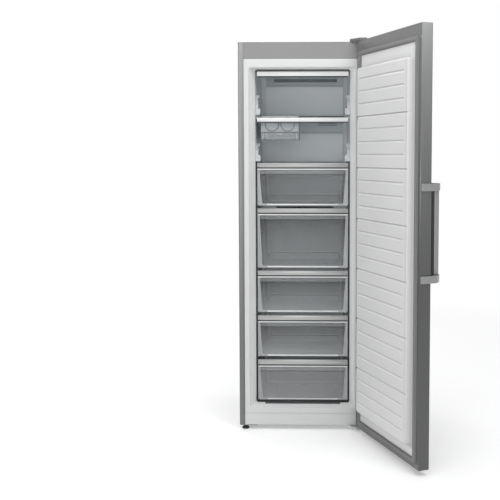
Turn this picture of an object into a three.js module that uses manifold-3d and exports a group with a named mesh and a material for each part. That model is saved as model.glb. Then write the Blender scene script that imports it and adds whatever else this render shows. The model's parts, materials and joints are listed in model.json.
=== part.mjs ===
// Upright freezer with its door open: a free-standing cabinet 600 mm wide and 1850 mm tall.
// Millimetres, +Z up, -Y towards the user, +X to the user's right.
// Origin: centre of the cabinet's footprint, at floor level.
import * as THREE from "three";
import { mergeVertices } from "three/addons/utils/BufferGeometryUtils.js";
import Module from "manifold-3d";

// ---------------------------------------------------------------- driving dimensions
const WIDTH = 600; // cabinet and door
const DEPTH = 590; // cabinet without its door
const BASE_Z = 25; // underside of the cabinet, the height of the feet
const TOP_Z = 1837; // top of the cabinet
const HX = WIDTH / 2;
const FRONT = -DEPTH / 2; // the cabinet's front plane
const REAR = DEPTH / 2;
const SHEET = 0.8; // steel sheet
const GAP = 0.3; // between pieces that rest on each other

const FLANGE = 26; // steel return beside the liner frame
const TRIM_Z = 1760; // lower edge of the top front trim
const MOUTH_X = 250; // half width of the liner's mouth
const ROOM_X = 226; // half width of the freezing room
const ROOM_Z0 = 109.6; // its floor
const ROOM_Z1 = 1719.4; // its ceiling
const TUNNEL = 80; // depth of the slanted mouth
const ROOM_D = 520; // depth of the room behind the front plane
const LINER = 2; // liner sheet
const STEP_D = 355; // depth of the room over the machine compartment's step
const STEP_Z = 288; // top of that step inside
const MACHINE_Y = 104; // machine compartment, from here to the rear
const MACHINE_Z = 237;

const HINGE_X = 285; // door hinge axis, vertical
const HINGE_Y = FRONT - 34;
const DOOR_ANGLE = 113; // degrees open, as it stands
const DOOR_GAP = 8; // door inner plane to the cabinet front, closed
const DOOR_T = 50; // door panel thickness
const DOOR_IN = FRONT - DOOR_GAP; // inner plane, closed
const DOOR_OUT = DOOR_IN - DOOR_T; // outer plane, closed
const DOOR_Z0 = 28;
const DOOR_Z1 = 1835;
const PLUG_X = 243; // raised field of the door liner
const PLUG_Z0 = 117;
const PLUG_Z1 = 1711;
const PLUG_H = 30;

const FACE_D = 80; // plane of the flaps and drawer fronts
const FACE_X = 217.5; // their half width
const DRAWERS = [
  // bottom, bottom of the grip, top of the grip, depth of the tub's back
  { z: 1071, grip: [1254, 1275], back: 438 },
  { z: 771, grip: [1036, 1057], back: 438 },
  { z: 554, grip: [734, 756], back: 438 },
  { z: 338, grip: [515, 538], back: 438 },
  { z: 123, grip: [297, 321], back: 343 },
];
const FLAPS = [
  { z: 1506, grip: [1688, 1709], pivot: 1512, bracketTop: 1598 },
  { z: 1285, grip: [1472, 1491], pivot: 1291, bracketTop: 1368 },
];
const SHELF_TOPS = [1500, 1281.5, 1069.5, 769.5, 552.5, 336.5];
const SHELF_T = 4;
const DUCT_D = 455; // duct cover behind the drawers
const DUCT_LOW_D = 444; // its lower, proud fields
const DUCT_X = 200; // half width of those fields

const ROLLER = { r: 16, x: 259.75, y: REAR - 40 };
const HANDLE_Z = [797, 1199];
const ARM_H = 30;
const DISPLAY = { w: 154, h: 74, z: 1643 };

const ICE = { x0: -200, x1: -20, d0: 102, d1: 335, z0: 1424, z1: 1492, axisZ: 1460, axes: [-148, -73], knobR: 30, foot: 1386 };

// ---------------------------------------------------------------- solid helpers
const wasm = await Module();
wasm.setup();

function solid(geometry) {
  const g = geometry.clone();
  g.deleteAttribute("normal");
  g.deleteAttribute("uv");
  const m = mergeVertices(g, 1e-4);
  return new wasm.Manifold(
    new wasm.Mesh({
      numProp: 3,
      vertProperties: new Float32Array(m.attributes.position.array),
      triVerts: new Uint32Array(m.index.array),
    }),
  );
}

function geometryOf(body) {
  const mesh = body.getMesh();
  const g = new THREE.BufferGeometry();
  const n = mesh.numProp;
  const count = mesh.vertProperties.length / n;
  const at = new Float32Array(count * 3);
  for (let i = 0; i < count; i++)
    for (let k = 0; k < 3; k++) at[i * 3 + k] = mesh.vertProperties[i * n + k];
  g.setAttribute("position", new THREE.BufferAttribute(at, 3));
  g.setIndex(new THREE.BufferAttribute(new Uint32Array(mesh.triVerts), 1));
  g.computeVertexNormals();
  return g;
}

function join(...bodies) {
  return bodies.reduce((a, b) => a.add(b));
}

function cut(body, ...tools) {
  return tools.reduce((a, b) => a.subtract(b), body);
}

function box(x0, x1, y0, y1, z0, z1) {
  const g = new THREE.BoxGeometry(x1 - x0, y1 - y0, z1 - z0);
  g.translate((x0 + x1) / 2, (y0 + y1) / 2, (z0 + z1) / 2);
  return solid(g);
}

// A box by its depth behind the cabinet's front plane instead of Y.
function dbox(x0, x1, d0, d1, z0, z1) {
  return box(x0, x1, FRONT + d0, FRONT + d1, z0, z1);
}

function reversed(geometry) {
  const g = geometry.index ? geometry.toNonIndexed() : geometry;
  const p = g.getAttribute("position");
  for (let i = 0; i < p.count; i += 3) {
    const b = [p.getX(i + 1), p.getY(i + 1), p.getZ(i + 1)];
    p.setXYZ(i + 1, p.getX(i + 2), p.getY(i + 2), p.getZ(i + 2));
    p.setXYZ(i + 2, ...b);
  }
  return g;
}

// An outline drawn in the plane across an axis, (x,y) for z, (y,z) for x and (x,z) for y, run along that axis.
function run(outline, from, to, axis = "z", holes = []) {
  const points = (list) => list.map(([u, v]) => new THREE.Vector2(u, v));
  const shape = new THREE.Shape(points(outline));
  for (const hole of holes) shape.holes.push(new THREE.Path(points(hole)));
  let g = new THREE.ExtrudeGeometry(shape, { depth: to - from, bevelEnabled: false });
  g.translate(0, 0, from);
  if (axis === "x")
    g.applyMatrix4(new THREE.Matrix4().set(0, 0, 1, 0, 1, 0, 0, 0, 0, 1, 0, 0, 0, 0, 0, 1));
  if (axis === "y") {
    g.applyMatrix4(new THREE.Matrix4().set(1, 0, 0, 0, 0, 0, 1, 0, 0, 1, 0, 0, 0, 0, 0, 1));
    g = reversed(g);
  }
  return solid(g);
}

function rounded(u0, u1, v0, v1, r, steps = 4) {
  const out = [];
  const corners = [
    [u1 - r, v0 + r, -90],
    [u1 - r, v1 - r, 0],
    [u0 + r, v1 - r, 90],
    [u0 + r, v0 + r, 180],
  ];
  for (const [cu, cv, a0] of corners)
    for (let i = 0; i <= steps; i++) {
      const a = ((a0 + (90 * i) / steps) * Math.PI) / 180;
      out.push([cu + r * Math.cos(a), cv + r * Math.sin(a)]);
    }
  return out;
}

function circle(u, v, r, n = 24) {
  return Array.from({ length: n }, (_, i) => {
    const a = (2 * Math.PI * (i + 0.5)) / n;
    return [u + r * Math.cos(a), v + r * Math.sin(a)];
  });
}

function rod(u, v, r, from, to, axis = "z", n = 24) {
  return run(circle(u, v, r, n), from, to, axis);
}

// Six-sided body between two rectangles across Z.
function taper([ax0, ax1, ay0, ay1, az], [bx0, bx1, by0, by1, bz]) {
  const p = [
    [ax0, ay0, az], [ax1, ay0, az], [ax1, ay1, az], [ax0, ay1, az],
    [bx0, by0, bz], [bx1, by0, bz], [bx1, by1, bz], [bx0, by1, bz],
  ];
  const f = [0, 2, 1, 0, 3, 2, 4, 5, 6, 4, 6, 7, 0, 1, 5, 0, 5, 4, 1, 2, 6, 1, 6, 5, 2, 3, 7, 2, 7, 6, 3, 0, 4, 3, 4, 7];
  const g = new THREE.BufferGeometry();
  g.setAttribute("position", new THREE.Float32BufferAttribute(p.flat(), 3));
  g.setIndex(f);
  return solid(g);
}

function turned(profile, n = 28) {
  const g = new THREE.LatheGeometry(profile.map(([r, z]) => new THREE.Vector2(r, z)), n);
  g.rotateX(Math.PI / 2);
  return solid(g);
}

function shifted(body, x, y, z) {
  return solid(geometryOf(body).translate(x, y, z));
}

function mirroredX(body) {
  return solid(reversed(geometryOf(body).toNonIndexed().scale(-1, 1, 1)));
}

// ---------------------------------------------------------------- finishes
const finish = (color, roughness, metalness = 0, opacity = 1) =>
  new THREE.MeshStandardMaterial({ color, roughness, metalness, opacity, transparent: opacity < 1 });
const STEEL = finish(0x8c8d8c, 0.38, 0.85);
const SIDE_STEEL = finish(0x868786, 0.45, 0.6);
const GREY_TRIM = finish(0x9d9e9d, 0.5);
const DARK_TRIM = finish(0x6c6d6c, 0.55);
const LINER_WHITE = finish(0xe4e4e3, 0.42);
const CLEAR = finish(0xa9b0b3, 0.15, 0, 0.45);
const GLASS = finish(0x9fb1b4, 0.05, 0, 0.4);
const SILVER = finish(0xc4c4c2, 0.35, 0.7);
const WHITE_TRIM = finish(0xeeeeec, 0.3);
const DUCT_GREY = finish(0xb4babd, 0.45);
const FOAM = finish(0xd8cf9e, 0.95);
const BLACK = finish(0x1b1c1e, 0.12);
const RUBBER = finish(0x2c2d2f, 0.85);
const GASKET = finish(0xa5a6a6, 0.8);
const ZINC = finish(0xa9adaf, 0.4, 0.8);
const POT = finish(0x191a1b, 0.5, 0.3);
const COPPER = finish(0xb06a45, 0.35, 0.9);

const freezer = new THREE.Group();
function piece(name, body, material, parent = freezer) {
  const mesh = new THREE.Mesh(geometryOf(body), material);
  mesh.name = name;
  parent.add(mesh);
  return mesh;
}

// ---------------------------------------------------------------- cabinet shell
// One folded sheet makes both sides and the top; each side ends in a rounded front flange and a rear flange.
function sideSection() {
  const r = 5;
  const outer = [];
  for (let i = 0; i <= 4; i++) {
    const a = ((180 + (90 * i) / 4) * Math.PI) / 180;
    outer.push([-HX + r + r * Math.cos(a), FRONT + r + r * Math.sin(a)]);
  }
  const inner = [];
  for (let i = 4; i >= 0; i--) {
    const a = ((180 + (90 * i) / 4) * Math.PI) / 180;
    inner.push([-HX + r + (r - SHEET) * Math.cos(a), FRONT + r + (r - SHEET) * Math.sin(a)]);
  }
  const f = -HX + FLANGE;
  return [
    [-HX, REAR],
    ...outer,
    [f, FRONT],
    [f, FRONT + 11],
    [f - SHEET, FRONT + 11],
    [f - SHEET, FRONT + SHEET],
    ...inner,
    [-HX + SHEET, REAR - SHEET],
    [-HX + 15, REAR - SHEET],
    [-HX + 15, REAR],
  ];
}
const leftSide = run(sideSection(), BASE_Z, TOP_Z);
const topSheet = run(rounded(-HX, HX, FRONT, REAR, 5), TOP_Z - SHEET, TOP_Z);
piece("outer_shell", join(leftSide, mirroredX(leftSide), topSheet), SIDE_STEEL);

// Front trim over the mouth: a channel open to the rear.
const trimX = HX - FLANGE - GAP;
const trimTop = TOP_Z - SHEET - GAP;
piece(
  "top_front_trim",
  run(
    [
      [FRONT, TRIM_Z], [FRONT + 11, TRIM_Z], [FRONT + 11, TRIM_Z + 2], [FRONT + 2, TRIM_Z + 2],
      [FRONT + 2, trimTop - 2], [FRONT + 11, trimTop - 2], [FRONT + 11, trimTop], [FRONT, trimTop],
    ],
    -trimX, trimX, "x",
  ),
  GREY_TRIM,
);

piece("back_panel", box(-HX + 16, HX - 16, REAR - 2 * SHEET, REAR - SHEET, MACHINE_Z + 3, TOP_Z - SHEET - GAP), ZINC);

// ---------------------------------------------------------------- liner and insulation
// The room: slanted mouth, straight box, and a step over the machine compartment. grow widens it by a wall's thickness.
function room(grow, front) {
  const z0 = ROOM_Z0 - grow;
  const z1 = ROOM_Z1 + grow;
  const slope = (MOUTH_X - ROOM_X) / TUNNEL;
  const wide = MOUTH_X + grow + slope * -front;
  const x = ROOM_X + grow;
  const plan = [
    [-wide, FRONT + front], [wide, FRONT + front], [x, FRONT + TUNNEL], [x, FRONT + ROOM_D + grow],
    [-x, FRONT + ROOM_D + grow], [-x, FRONT + TUNNEL],
  ];
  return cut(
    run(plan, z0, z1),
    dbox(-HX, HX, STEP_D + grow, ROOM_D + 60, z0 - 10, STEP_Z - grow),
  );
}
const frameZ0 = 80.3;
let liner = join(
  run(rounded(-trimX, trimX, frameZ0, TRIM_Z - GAP, 2, 1), FRONT, FRONT + LINER, "y"),
  room(LINER, 0.5),
);
liner = cut(liner, room(0, -1));
for (const top of SHELF_TOPS)
  for (const s of [-1, 1]) {
    const d1 = 438;
    const x0 = s < 0 ? -ROOM_X - 0.5 : 213;
    liner = join(liner, dbox(x0, x0 + 13.5, 104, d1, top - SHELF_T - GAP - 8, top - SHELF_T - GAP));
  }
for (const x of [-150, 130]) liner = join(liner, dbox(x, x + 20, 96, STEP_D - 4, ROOM_Z0 - 0.5, DRAWERS[4].z - 1.5));
piece("inner_liner", liner, LINER_WHITE);

piece(
  "plinth_panel",
  join(
    run(
      [
        [FRONT, BASE_Z + 0.3], [FRONT, 80], [FRONT + 12, 80], [FRONT + 12, 77.5], [FRONT + 2.5, 77.5],
        [FRONT + 2.5, BASE_Z + 3], [FRONT + 12, BASE_Z + 3], [FRONT + 12, BASE_Z + 0.3],
      ],
      -trimX, trimX, "x",
    ),
    box(-2, 41, FRONT - 1.5, FRONT + 1, 30, 51),
  ),
  LINER_WHITE,
);

const foamX = HX - SHEET - GAP;
piece(
  "cabinet_insulation",
  cut(
    box(-foamX, foamX, FRONT + 13, 284, BASE_Z + 2, TOP_Z - SHEET - GAP),
    box(-HX, HX, MACHINE_Y - 1, REAR + 10, 0, MACHINE_Z + 1),
    room(LINER + GAP, -2),
  ),
  FOAM,
);

// One bent sheet closes the insulation below and forms the roof of the machine compartment.
piece(
  "bottom_panel",
  join(
    run(
      [
        [FRONT + 14, BASE_Z + 0.4], [MACHINE_Y, BASE_Z + 0.4], [MACHINE_Y, MACHINE_Z], [REAR - 2, MACHINE_Z],
        [REAR - 2, MACHINE_Z + SHEET], [MACHINE_Y - SHEET, MACHINE_Z + SHEET], [MACHINE_Y - SHEET, BASE_Z + 0.4 + SHEET],
        [FRONT + 14, BASE_Z + 0.4 + SHEET],
      ],
      -foamX, foamX, "x",
    ),
    cut(
      box(-297, -215, FRONT + 2, FRONT + 66, 20.5, BASE_Z + 0.8),
      rod(-273, FRONT + 24, 5.4, 10, 40),
      box(-300, -210, FRONT - 5, FRONT + 13.5, BASE_Z, 40),
    ),
  ),
  ZINC,
);

// ---------------------------------------------------------------- machine compartment
const trayZ = 38;
const ear = (x) =>
  cut(
    run([[MACHINE_Y + 60, trayZ + 1], [ROLLER.y - 12, 9], [ROLLER.y + 12, 9], [REAR - 14, trayZ + 1]], x, x + 2.5, "x"),
    rod(ROLLER.y, ROLLER.r, 4.2, x - 1, x + 4, "x", 16),
  );
piece(
  "compressor_tray",
  join(
    box(-HX + 6, HX - 6, MACHINE_Y + 3, REAR - 12, trayZ, trayZ + 2),
    box(-HX + 6, HX - 6, REAR - 14, REAR - 12, trayZ, trayZ + 18),
    box(-HX + 6, -HX + 8, MACHINE_Y + 3, REAR - 12, trayZ, trayZ + 30),
    box(HX - 8, HX - 6, MACHINE_Y + 3, REAR - 12, trayZ, trayZ + 30),
    ear(-276), ear(-246), ear(243.5), ear(273.5),
  ),
  ZINC,
);

const compressor = new THREE.Group();
compressor.position.set(-70, 190, trayZ + 2 + GAP);
freezer.add(compressor);
piece(
  "compressor",
  cut(
    join(
      turned([[0, 12], [52, 12], [66, 20], [74, 38], [76, 70], [76, 100], [74, 122], [64, 145], [44, 158], [0, 164]], 28),
      box(-98, 98, -66, 66, 9, 13),
      rod(-82, -50, 11, 0, 10), rod(82, -50, 11, 0, 10), rod(-82, 50, 11, 0, 10), rod(82, 50, 11, 0, 10),
      box(60, 104, -30, 30, 46, 112),
    ),
    rod(0, 0, 48, 5, 138, "z", 24),
  ),
  POT,
  compressor,
);

// Serpentine of tube behind the insulation.
const COND_Y = 288.6;
const runs = 8;
const pitch = 60;
let coil = null;
for (let i = 0; i < runs; i++) {
  const x = -((runs - 1) * pitch) / 2 + i * pitch;
  const tube = rod(x, COND_Y, 2.5, 420, 1660, "z", 8);
  coil = coil ? join(coil, tube) : tube;
  if (i < runs - 1) {
    const pos = i % 2 === 0 ? 1660 : 420;
    const turn = i % 2 === 0 ? 1 : -1;
    const path = [];
    for (let k = 0; k <= 10; k++) {
      const a = (Math.PI * k) / 10;
      path.push(new THREE.Vector3(x + pitch / 2 - (pitch / 2) * Math.cos(a), COND_Y, pos + turn * (pitch / 2) * Math.sin(a)));
    }
    const line = new THREE.CatmullRomCurve3([
      new THREE.Vector3(x, COND_Y, pos - turn * 3),
      ...path,
      new THREE.Vector3(x + pitch, COND_Y, pos - turn * 3),
    ]);
    const section = new THREE.Shape(circle(0, 0, 2.45, 8).map(([u, v]) => new THREE.Vector2(u, v)));
    coil = join(coil, solid(new THREE.ExtrudeGeometry(section, { steps: 14, extrudePath: line, bevelEnabled: false })));
  }
}
piece("condenser_coil", coil, POT);

// Mains box with the gland that the supply cord leaves through.
piece(
  "mains_inlet_box",
  join(
    box(150, 235, 215, 268, trayZ + 2 + GAP, 118),
    rod(192, 80, 9, 266, 276, "y", 20),
    rod(192, 80, 6, 274, 284, "y", 20),
  ),
  RUBBER,
);

// ---------------------------------------------------------------- cold parts behind the drawers
// The cover stands back at the vents in the top of each compartment and proud below them.
const steps = [[1716, 1668], [1496, 1427], [1276, 1190], [1062, 968], [762, 668], [545, 455]];
// front surface from the top down; moved back by a wall's thickness and past both ends it is the hollow behind
function ductLine(back, over) {
  const line = [];
  steps.forEach(([top, low], i) => {
    const last = i + 1 === steps.length;
    line.push(
      [FRONT + DUCT_D + back, i === 0 ? top + over : top - 6],
      [FRONT + DUCT_D + back, low + 8],
      [FRONT + DUCT_LOW_D + back, low - 4],
      [FRONT + DUCT_LOW_D + back, last ? 294 - over : steps[i + 1][0] + 6],
    );
  });
  return line;
}
// What stands back on both sides of the proud fields.
const besideFields = (x, d) => [dbox(-230, -x, DUCT_LOW_D - 8, d, 280, 1730), dbox(x, 230, DUCT_LOW_D - 8, d, 280, 1730)];
let ductBody = cut(
  cut(
    run([...ductLine(0, 0), [FRONT + ROOM_D - 1, 294], [FRONT + ROOM_D - 1, 1716]], -221, 221, "x"),
    ...besideFields(DUCT_X, DUCT_D),
  ),
  cut(
    run([...ductLine(2.5, 5), [FRONT + ROOM_D + 5, 289], [FRONT + ROOM_D + 5, 1721]], -218.5, 218.5, "x"),
    ...besideFields(DUCT_X - 2.5, DUCT_D + 2.5),
  ),
);
ductBody = cut(
  ductBody,
  dbox(-160, 168, DUCT_D - 3, DUCT_D + 6, 1691, 1708),
  dbox(68, 170, DUCT_D - 3, DUCT_D + 6, 1476, 1481),
  dbox(68, 170, DUCT_D - 3, DUCT_D + 6, 1466, 1471),
  dbox(-150, 150, DUCT_D - 3, DUCT_D + 6, 1250, 1258),
  dbox(-150, 150, DUCT_D - 3, DUCT_D + 6, 1036, 1044),
  dbox(-150, 150, DUCT_D - 3, DUCT_D + 6, 738, 746),
  dbox(-150, 150, DUCT_D - 3, DUCT_D + 6, 520, 528),
  dbox(-150, 150, DUCT_LOW_D - 3, DUCT_D + 6, 306, 318),
);
piece("duct_cover", ductBody, DUCT_GREY);

// Finned evaporator block.
const comb = [[-190, FRONT + 512]];
for (let i = 0; i < 24; i++) {
  const x = -190 + i * 16;
  comb.push([x, FRONT + 466], [x + 3, FRONT + 466], [x + 3, FRONT + 500]);
  if (i < 23) comb.push([x + 16, FRONT + 500]);
}
comb.push([181, FRONT + 512]);
piece("evaporator", run(comb, 960, 1230), ZINC);

piece(
  "fan_motor",
  join(
    rod(0, 1360, 21, FRONT + 496, FRONT + 514, "y", 20),
    dbox(-70, 70, 513, 519, 1352, 1368),
    rod(0, 1360, 3, FRONT + 479, FRONT + 498, "y", 12),
  ),
  BLACK,
);
const fan = new THREE.Group();
fan.position.set(0, FRONT + 484, 1360);
freezer.add(fan);
let impeller = cut(rod(0, 0, 17, -10, 8, "y", 20), rod(0, 0, 3.4, -6, 12, "y", 12));
for (let i = 0; i < 5; i++) {
  const blade = new THREE.BoxGeometry(40, 2, 26);
  blade.rotateX((35 * Math.PI) / 180);
  blade.translate(34, 0, 0);
  blade.rotateY((i * 2 * Math.PI) / 5);
  impeller = join(impeller, solid(blade));
}
piece("evaporator_fan", impeller, BLACK, fan);

// ---------------------------------------------------------------- shelves
SHELF_TOPS.forEach((top, i) => {
  const front = i === 0 ? 112 : 100;
  piece(`glass_shelf_${i + 1}`, dbox(-225.2, 225.2, front, 437, top - SHELF_T, top), GLASS);
});

// ---------------------------------------------------------------- flaps over the two upper compartments
FLAPS.forEach((flap, i) => {
  const pivotD = FACE_D;
  const group = new THREE.Group();
  group.position.set(0, FRONT + pivotD, flap.pivot);
  freezer.add(group);
  const z0 = flap.z - flap.pivot;
  const g0 = flap.grip[0] - flap.pivot;
  const g1 = flap.grip[1] - flap.pivot;
  // clear panel with an ear and a pin at each lower corner
  let panel = box(-197, 197, 4.5, 7.5, z0, g0 + 4);
  for (const s of [-1, 1]) {
    const x0 = s < 0 ? -197 : 190;
    panel = join(panel, box(x0, x0 + 7, -5, 7.5, z0, 6));
    panel = join(panel, rod(0, 0, 4, s < 0 ? -206 : 192, s < 0 ? -192 : 206, "x", 16));
  }
  piece(`flap_${i + 1}_panel`, panel, CLEAR, group);
  // grip strip over the panel's top edge
  const grip = cut(
    run(rounded(-4, 12, g0, g1, 2, 2), -FACE_X, FACE_X, "x"),
    box(-197.5, 197.5, 4.1, 7.9, g0 - 1, g0 + 4.4),
    box(-FACE_X + 8, FACE_X - 8, 2, 13, g0 + 7.5, g1 - 4),
  );
  piece(`flap_${i + 1}_grip`, grip, WHITE_TRIM, group);
  // clip-in pivots on the liner walls
  const clip = cut(
    join(
      dbox(202, 225.7, 72, 90, flap.pivot - 7, flap.pivot + 22),
      dbox(212, 225.7, 78, 90, flap.pivot + 20, flap.bracketTop),
      rod(FRONT + 84, flap.bracketTop - 8, 8, 206, 225.7, "x", 16),
    ),
    rod(FRONT + pivotD, flap.pivot, 4.5, 190, 208, "x", 16),
  );
  piece(`flap_${i + 1}_pivot_right`, clip, WHITE_TRIM);
  piece(`flap_${i + 1}_pivot_left`, mirroredX(clip), WHITE_TRIM);
});

// ---------------------------------------------------------------- drawers
DRAWERS.forEach((drawer, i) => {
  const group = new THREE.Group();
  group.position.set(0, FRONT + FACE_D, drawer.z);
  freezer.add(group);
  const h = drawer.grip[0] - 6 - drawer.z; // height of the front
  const back = drawer.back - FACE_D;
  const top = h - 4; // rim of the tub
  const front = join(
    box(-FACE_X, FACE_X, 0.5, 4, 0, h),
    run(rounded(-2.5, 4, h - 6, h, 1.6, 2), -FACE_X, FACE_X, "x"),
    run(rounded(-0.5, 4, 0, 6, 1.2, 2), -FACE_X, FACE_X, "x"),
  );
  const outside = taper([-192, 192, 3, back - 16, 0], [-204.5, 204.5, 3, back - 5, top]);
  const rim = box(-210, 210, 3, back, top - 2.5, top);
  const inside = taper([-189.8, 189.8, 4, back - 18.2, 2.5], [-202.4, 202.4, 4, back - 7.2, top + 1]);
  piece(`drawer_${i + 1}_tub`, cut(join(front, outside, rim), inside), CLEAR, group);
  const g0 = drawer.grip[0] - drawer.z;
  const g1 = drawer.grip[1] - drawer.z;
  const grip = cut(
    join(run(rounded(-4, 12, g0, g1, 2.5, 2), -FACE_X, FACE_X, "x"), box(-FACE_X + 2, FACE_X - 2, 0.5, 4, h + GAP, g0 + 2)),
    box(-FACE_X + 8, FACE_X - 8, 2, 13, g0 + 6, g1 - 5),
  );
  piece(`drawer_${i + 1}_grip`, grip, SILVER, group);
});

// ---------------------------------------------------------------- twist ice maker and its box
{
  const { x0, x1, d0, d1, z0, z1, axisZ, axes, knobR, foot } = ICE;
  let frame = join(
    dbox(x0, x0 + 2.5, d0, d1, foot, z1),
    dbox(x1 - 2.5, x1, d0, d1, foot, z1),
    dbox(x0, x1, d0, d0 + 3, z0, 1499),
    dbox(x0, x1, d1 - 2.5, d1, z0, z1),
    dbox(x0, x0 + 10, d0, d1, foot, foot + 2),
    dbox(x1 - 10, x1, d0, d1, foot, foot + 2),
    dbox(x0 - 8, x0 + 2, d0 + 14, d1 - 20, z1 - 3, z1),
    dbox(x1 - 2, x1 + 8, d0 + 14, d1 - 20, z1 - 3, z1),
  );
  for (const x of axes) {
    frame = cut(frame, rod(x, axisZ, knobR + 2.5, FRONT + d0 - 2, FRONT + d0 + 6, "y", 32));
    frame = cut(frame, rod(x, axisZ, 4.5, FRONT + d1 - 6, FRONT + d1 + 6, "y", 16));
  }
  piece("ice_maker_frame", frame, DUCT_GREY);
  axes.forEach((x, i) => {
    const group = new THREE.Group();
    group.position.set(x, FRONT + d0, axisZ);
    freezer.add(group);
    const length = d1 - d0;
    let tray = join(
      rod(0, 0, knobR, -1, 5, "y", 32),
      box(-knobR + 2, knobR - 2, -8, 0, -7, 7),
      box(-29, 29, 4, length - 10, -13, 12),
      rod(0, 0, 4, length - 11, length - 0.5, "y", 16),
    );
    for (let c = 0; c < 5; c++)
      for (const s of [-1, 1]) {
        const a = s < 0 ? -27 : 1.5;
        const y0 = 8 + c * 42;
        tray = cut(tray, taper([a + 4, a + 21.5, y0 + 4, y0 + 34, -11], [a, a + 25.5, y0, y0 + 38, 14]));
      }
    piece(i === 0 ? "ice_tray_left" : "ice_tray_right", tray, DUCT_GREY, group);
  });
  piece(
    "ice_box",
    cut(
      join(
        taper([x0 + 8, x1 - 8, FRONT + d0 + 3, FRONT + d1 - 12, foot + 2.4], [x0 + 4, x1 - 4, FRONT + d0 + 2, FRONT + d1 - 8, foot + 35]),
        dbox(x0 + 3.2, x1 - 3.2, d0 - 2, d0 + 4, foot + 3, foot + 35),
      ),
      taper([x0 + 10, x1 - 10, FRONT + d0 + 6, FRONT + d1 - 14, foot + 4.4], [x0 + 6, x1 - 6, FRONT + d0 + 6, FRONT + d1 - 10, foot + 36]),
    ),
    CLEAR,
  );
}

// ---------------------------------------------------------------- hinges fixed to the cabinet
const pinR = 5;
piece(
  "bottom_hinge_bracket",
  cut(
    join(
      run([[215, FRONT + 66], [215, FRONT + 2], [262, FRONT - 40], [270, FRONT - 47], [292, FRONT - 47], [297, FRONT - 42], [297, FRONT + 66]], 20.5, 24.7),
      rod(HINGE_X, HINGE_Y, pinR, 22, 44),
    ),
    rod(273, FRONT + 24, 5.4, 10, 40),
  ),
  ZINC,
);
const plateZ = TOP_Z + GAP;
piece(
  "top_hinge_bracket",
  join(
    run([[230, FRONT + 62], [230, FRONT + 6], [266, FRONT - 40], [272, FRONT - 45], [292, FRONT - 45], [296, FRONT - 41], [296, FRONT + 62]], plateZ, plateZ + 3),
    rod(HINGE_X, HINGE_Y, pinR, 1818, plateZ + 2),
  ),
  ZINC,
);
const coverOut = [[222, FRONT + 70], [222, FRONT + 2], [262, FRONT - 46], [270, FRONT - 51], [294, FRONT - 51], [299.5, FRONT - 45], [299.5, FRONT + 70]];
const coverIn = [[225, FRONT + 67], [225, FRONT + 3], [264.5, FRONT - 44], [271, FRONT - 48.5], [293, FRONT - 48.5], [297, FRONT - 44], [297, FRONT + 67]];
piece("top_hinge_cover", cut(run(coverOut, plateZ, 1850), run(coverIn, plateZ - 1, 1848)), DARK_TRIM);

// ---------------------------------------------------------------- feet and rollers
for (const [side, x] of [["left", -273], ["right", 273]]) {
  const foot = new THREE.Group();
  foot.position.set(x, FRONT + 24, 0);
  freezer.add(foot);
  piece(
    `front_foot_${side}`,
    turned([[0, 0], [15, 0], [17, 2], [17, 6], [13, 10], [9, 12], [9, 17], [5, 17], [5, 24.4], [0, 24.4]], 24),
    RUBBER,
    foot,
  );
  const wheel = new THREE.Group();
  wheel.position.set(Math.sign(x) * ROLLER.x, ROLLER.y, ROLLER.r);
  freezer.add(wheel);
  piece(
    `rear_roller_${side}`,
    join(rod(0, 0, ROLLER.r, -11.5, 11.5, "x", 32), rod(0, 0, 3.9, -18, 18, "x", 16)),
    RUBBER,
    wheel,
  );
}

// ---------------------------------------------------------------- door, drawn closed, then swung open about its hinge axis
const door = new THREE.Group();
const swing = new THREE.Group();
swing.position.set(HINGE_X, HINGE_Y, 0);
swing.rotation.z = (DOOR_ANGLE * Math.PI) / 180;
door.position.set(-HINGE_X, -HINGE_Y, 0);
swing.add(door);
freezer.add(swing);

const CAP_TOP = 1786; // lower edge of the top cap on the inner face
const CAP_BOTTOM = 50; // upper edge of the bottom cap
const RETURN = 22; // steel return on the inner face

// outer skin: front and both sides, with returns on the inner face between the caps
function skinSection(back, t) {
  const r = 5;
  const left = [];
  const inner = [];
  for (let i = 0; i <= 4; i++) {
    const a = ((180 + (90 * i) / 4) * Math.PI) / 180;
    left.push([-HX + r + r * Math.cos(a), DOOR_OUT + r + r * Math.sin(a)]);
    inner.push([-HX + r + (r - t) * Math.cos(a), DOOR_OUT + r + (r - t) * Math.sin(a)]);
  }
  const mirror = (list) => list.map(([x, y]) => [-x, y]).reverse();
  return [[-HX, back], ...left, ...mirror(left), [HX, back], [HX - t, back], ...mirror(inner).reverse(), ...inner.reverse(), [-HX + t, back]];
}
const windowX = DISPLAY.w / 2 + 0.4;
const windowZ0 = DISPLAY.z - DISPLAY.h / 2 - 0.4;
const windowZ1 = DISPLAY.z + DISPLAY.h / 2 + 0.4;
const skin = cut(
  join(
    run(skinSection(DOOR_IN, SHEET), DOOR_Z0, DOOR_Z1),
    box(-HX, -HX + RETURN, DOOR_IN - SHEET, DOOR_IN, CAP_BOTTOM + GAP, CAP_TOP - GAP),
    box(HX - RETURN, HX, DOOR_IN - SHEET, DOOR_IN, CAP_BOTTOM + GAP, CAP_TOP - GAP),
  ),
  box(-windowX, windowX, DOOR_OUT - 5, DOOR_OUT + 5, windowZ0, windowZ1),
);
piece("door_outer_skin", skin, STEEL, door);

const inX = HX - SHEET - GAP;
const inOut = DOOR_OUT + SHEET + GAP;
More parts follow.
